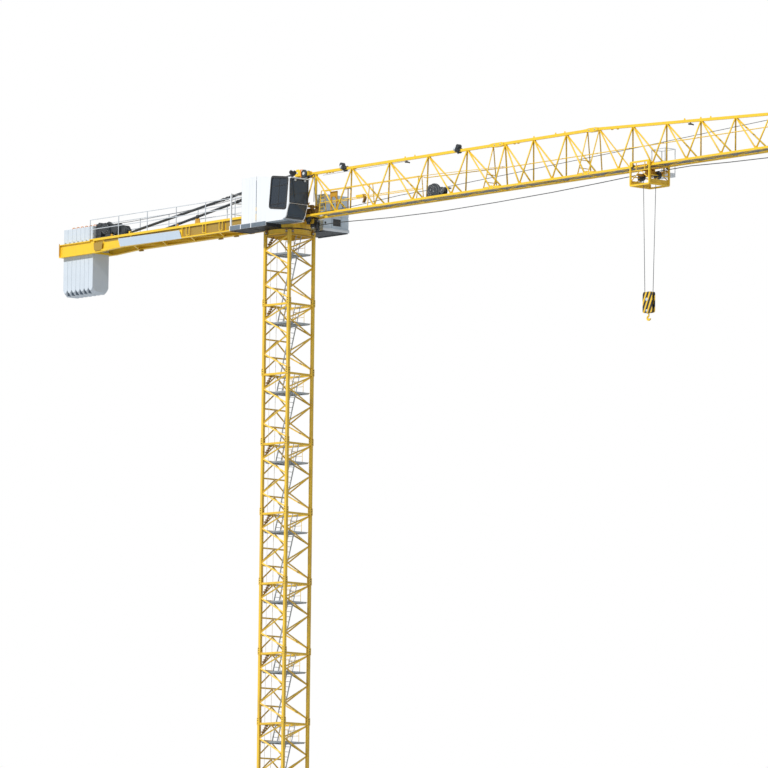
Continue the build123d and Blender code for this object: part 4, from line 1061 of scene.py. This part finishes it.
def service_details():
    """The service platform's edge and slats, and the doors and grilles of its cabinets."""
    edge = Form()
    edge.block((702, 700, 168), (712, 1719, 240))
    edge.block((-640, 704, 170), (706, 711, 236))
    edge.done("service_plinth", light_metal)
    slats = Form()
    for number in range(9):
        x = -640 + number * 148
        slats.block((x, 720, 160), (x + 84, 1714, 175))
    slats.block((-640, 760, 140), (700, 800, 162))
    slats.block((-640, 1640, 140), (700, 1680, 162))
    slats.done("service_slats", dark)
    doors = Form()
    for near, far in ((730, 1040), (1075, 1405), (1440, 1700)):
        for low, high in ((300, 590), (640, 1235)):
            doors.block((691, near, low), (697, far, high))
    doors.done("cabinet_doors", cabinet)
    grilles = Form()
    for number in range(7):
        z = 346 + number * 28
        grilles.block((697, 1100, z), (702, 1385, z + 16))
    grilles.block((697, 1095, 336), (699, 1390, 545))
    grilles.tube([(697, 794, 407), (704, 794, 407)], 34, 16)
    for near in (745, 1090, 1455):
        grilles.block((697, near, 900), (704, near + 22, 990))
    grilles.done("cabinet_grilles", black)


# Trolley winch, floor and ropes of the jib

circle = range(0, 360, 20)
trolley_drum_x = 6850
trolley_drum_rise = 654


def ellipse(x, rise, reach, height, degrees):
    """Points along and above on an ellipse, one at each angle."""
    return [(x + reach * cos(radians(a)), rise + height * sin(radians(a))) for a in degrees]


def winch_details():
    """Covers and trims of the trolley winch, and the rope's turns on its drum."""
    cover = Form()
    arc = ellipse(6690, 640, 290, 240, range(20, 181, 16))
    cover.plate(arc + [(6400, 520), (6940, 520)], -176, -150)
    cover.plate(ellipse(6560, 700, 150, 150, circle), -170, -40)
    cover.plate(ellipse(7080, 640, 92, 92, circle), -200, -120)
    cover.across(6480, -60, 150, 640, 96, 18)
    cover.block((6400, -150, 500), (7060, 150, 522))
    cover.done("trolley_winch_cover", dark, smooth=True)
    trims = Form()
    for x, z, radius in ((6560, 700, 152), (6690, 640, 236), (7080, 640, 94)):
        near = -204 if x > 7000 else -182
        for share in (1, 0.62):
            ring = ellipse(x, z, radius * share, radius * share, circle)
            trims.tube([(along, near, rise) for along, rise in ring], 7, 6, True)
        trims.across(x, near - 8, near + 10, z, 30, 14)
    for number in range(6):
        trims.block((6960 + number * 34, -110, 700), (6972 + number * 34, 110, 742))
    trims.done("trolley_winch_trims", grey, smooth=True)
    turns = Form()
    for number in range(8):
        y = -84 + number * 21
        turns.across(trolley_drum_x, y, y + 18, trolley_drum_rise, 101, 28)
    turns.done("trolley_rope_turns", rope_steel, "trolley_rope_drum", True)


def jib_floor():
    """Grating along the jib's floor, and the boards at its sides."""
    grate = Form()
    for x in range(grating_start, grating_end, grating_pitch):
        end = x + grating_length
        for y in (-180, -108, -36, 36, 108):
            grate.block((x, y, 470), (end, y + 60, 473.5))
        grate.block((x, -184, 490.5), (end, 184, 493))
    grate.done("jib_grating", grey)
    edges = Form()
    for side in (-1, 1):
        edges.block((1510, side * 188 - 5, 455), (24640, side * 188 + 5, 505))
    edges.done("jib_toe_boards", zinc)


def jib_ropes():
    """The hoist rope that sags to the trolley and on to the tip, and the trolley's travel ropes."""
    rear = Form()
    flat = ((1028, 262), (1050, 212), (1120, 184), (1800, 186), (2399, 180), (4600, 100),
            (6821, 66), (9200, 92), (11600, 142), (13650, 213), (15560, 292))
    rear.tube([(x, 0, z) for x, z in flat], jib_rope_radius, 6)
    rope = rear.done("hoist_rope_in", rope_steel, None, True)
    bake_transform(rope)
    ahead = Form()
    flat = ((15760, 292), (17331, 312), (18900, 256), (20436, 222), (22600, 222), (24700, 300),
            (tip_x, 440))
    ahead.tube([(x, 0, z) for x, z in flat], jib_rope_radius, 6)
    rope = ahead.done("hoist_rope_out", rope_steel, None, True)
    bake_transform(rope)
    travel = Form()
    for flat in (((1290, 560), (2800, 596), (5042, 720), (6750, 752)),
                 ((6950, 752), (9600, 850), (14000, 1012), (20428, 1271), (24500, 1200))):
        travel.tube([(x, 0, z) for x, z in flat], rope_radius, 6)
    travel.done("travel_rope", rope_steel, smooth=True)
    under = Form()
    under.tube([(1505, 0, 1663), (3323, 0, 1672), (5200, 0, 1690)], 5, 6)
    under.done("top_chord_line", rope_steel, smooth=True)


# Trolley and hook

trolley_x = 15655
trolley_side = 352
trolley_wheel_rise = 177
block_wheel_rise = -3273
fall_high_reach = 256.7
fall_low_reach = 161.3
block_half_length = 188
block_low = -3653
block_high = -3063


def trolley_details():
    """The trolley's brackets, side lattices, wheels and end plates."""
    # The brackets take the darker orange: painted shade.
    brackets = Form()
    outline = [(15480, 250), (15560, 380), (15760, 400), (15840, 250), (15760, 210), (15560, 210)]
    for y in (-60, 36):
        brackets.plate(outline, y, y + 24)
    brackets.block((15860, -240, 210), (15940, 240, 290))
    brackets.block((15370, -240, 210), (15430, 240, 270))
    brackets.across(trolley_x, -330, 330, 330, 20)
    brackets.done("trolley_brackets", orange_in_painted_shade, "trolley")
    lattice = Form()
    for side in (-1, 1):
        y = side * trolley_side
        lattice.tube([(15290, y, 60), (trolley_x, y, 330), (16020, y, 60)], 15, 6)
        lattice.tube([(15290, y, 330), (16020, y, 330)], 17, 6)
        for x in (15480, 15830):
            lattice.upright(x, y, 330, 540, 15, 6)
    lattice.done("trolley_lattice", mast_yellow, "trolley")
    wheels = Form()
    for x in (15386, 15924):
        wheels.wheel(x, 0, trolley_wheel_rise, 86, 40)
        wheels.across(x, -60, 60, trolley_wheel_rise, 20)
    for x in (15330, 15980):
        for side in (-1, 1):
            wheels.wheel(x, side * 358, 430, 40, 18, 16)
            wheels.wheel(x, side * trolley_side, 330, 26, 20, 12)
    wheels.block((15270, -60, 150), (15350, 60, 250))
    wheels.done("trolley_wheels", dark, "trolley", True)
    plates = Form()
    for x in (15276, 16034):
        plates.block((x - 4, -350, -60), (x + 4, 350, 64))
    for x in (15290, 16020):
        plates.tube([(x, -350, -40), (x, 350, 300)], 14, 6)
    plates.done("trolley_end_plates", mast_yellow, "trolley")


def hoist_falls():
    """The two falls from the trolley to the block's wheel, which lengthen with the hoist."""
    falls = Form()
    for side in (-1, 1):
        high = (trolley_x + side * fall_high_reach, 0, trolley_wheel_rise)
        low = (trolley_x + side * fall_low_reach, 0, block_wheel_rise)
        falls.tube([high, low], rope_radius, 8)
    piece = falls.done("hoist_falls", rope_steel, None, True)
    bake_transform(piece)
    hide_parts("rope_falls")


def hook_block_form():
    """The block: two striped cheeks over a rope wheel, with a cross piece that holds the hook."""
    cheeks = Form()
    rear, front = trolley_x - block_half_length, trolley_x + block_half_length
    corners = [(rear, block_low), (front, block_low), (front, block_high), (rear, block_high)]
    outline = rounded(corners, 70)
    for y in (-66, 40):
        cheeks.plate(outline, y, y + 26)
    piece = cheeks.done("hook_block_cheeks", stripes, "hook_block")
    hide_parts("hook_block")
    core = Form()
    core.wheel(trolley_x, 0, block_wheel_rise, 160, 56)
    core.block((trolley_x - 150, -41, -3640), (trolley_x + 150, 41, -3470))
    core.done("hook_block_core", dark, "hook_block", True)
    discs = Form()
    for rise, radius in ((block_wheel_rise, 46), (-3585, 34)):
        discs.wheel(trolley_x - 20, 0, rise, radius, 150, 18)
    discs.done("hook_block_discs", light_metal, "hook_block", True)


set_camera()
set_stage()
finish_nodes()
mast_braces()
mast_joints()
mast_ladders()
mast_platform_edges()
mast_cables()
ring_details()
jib_bars()
jib_skins()
jib_fittings()
lamp_bodies()
walkway_fittings()
cab_frames()
cab_chin()
cab_fittings()
cab_undersides()
head_details()
rope_guide_details()
counter_details()
plate_details()
hoist_details()
service_details()
winch_details()
jib_floor()
jib_ropes()
trolley_details()
hoist_falls()
hook_block_form()
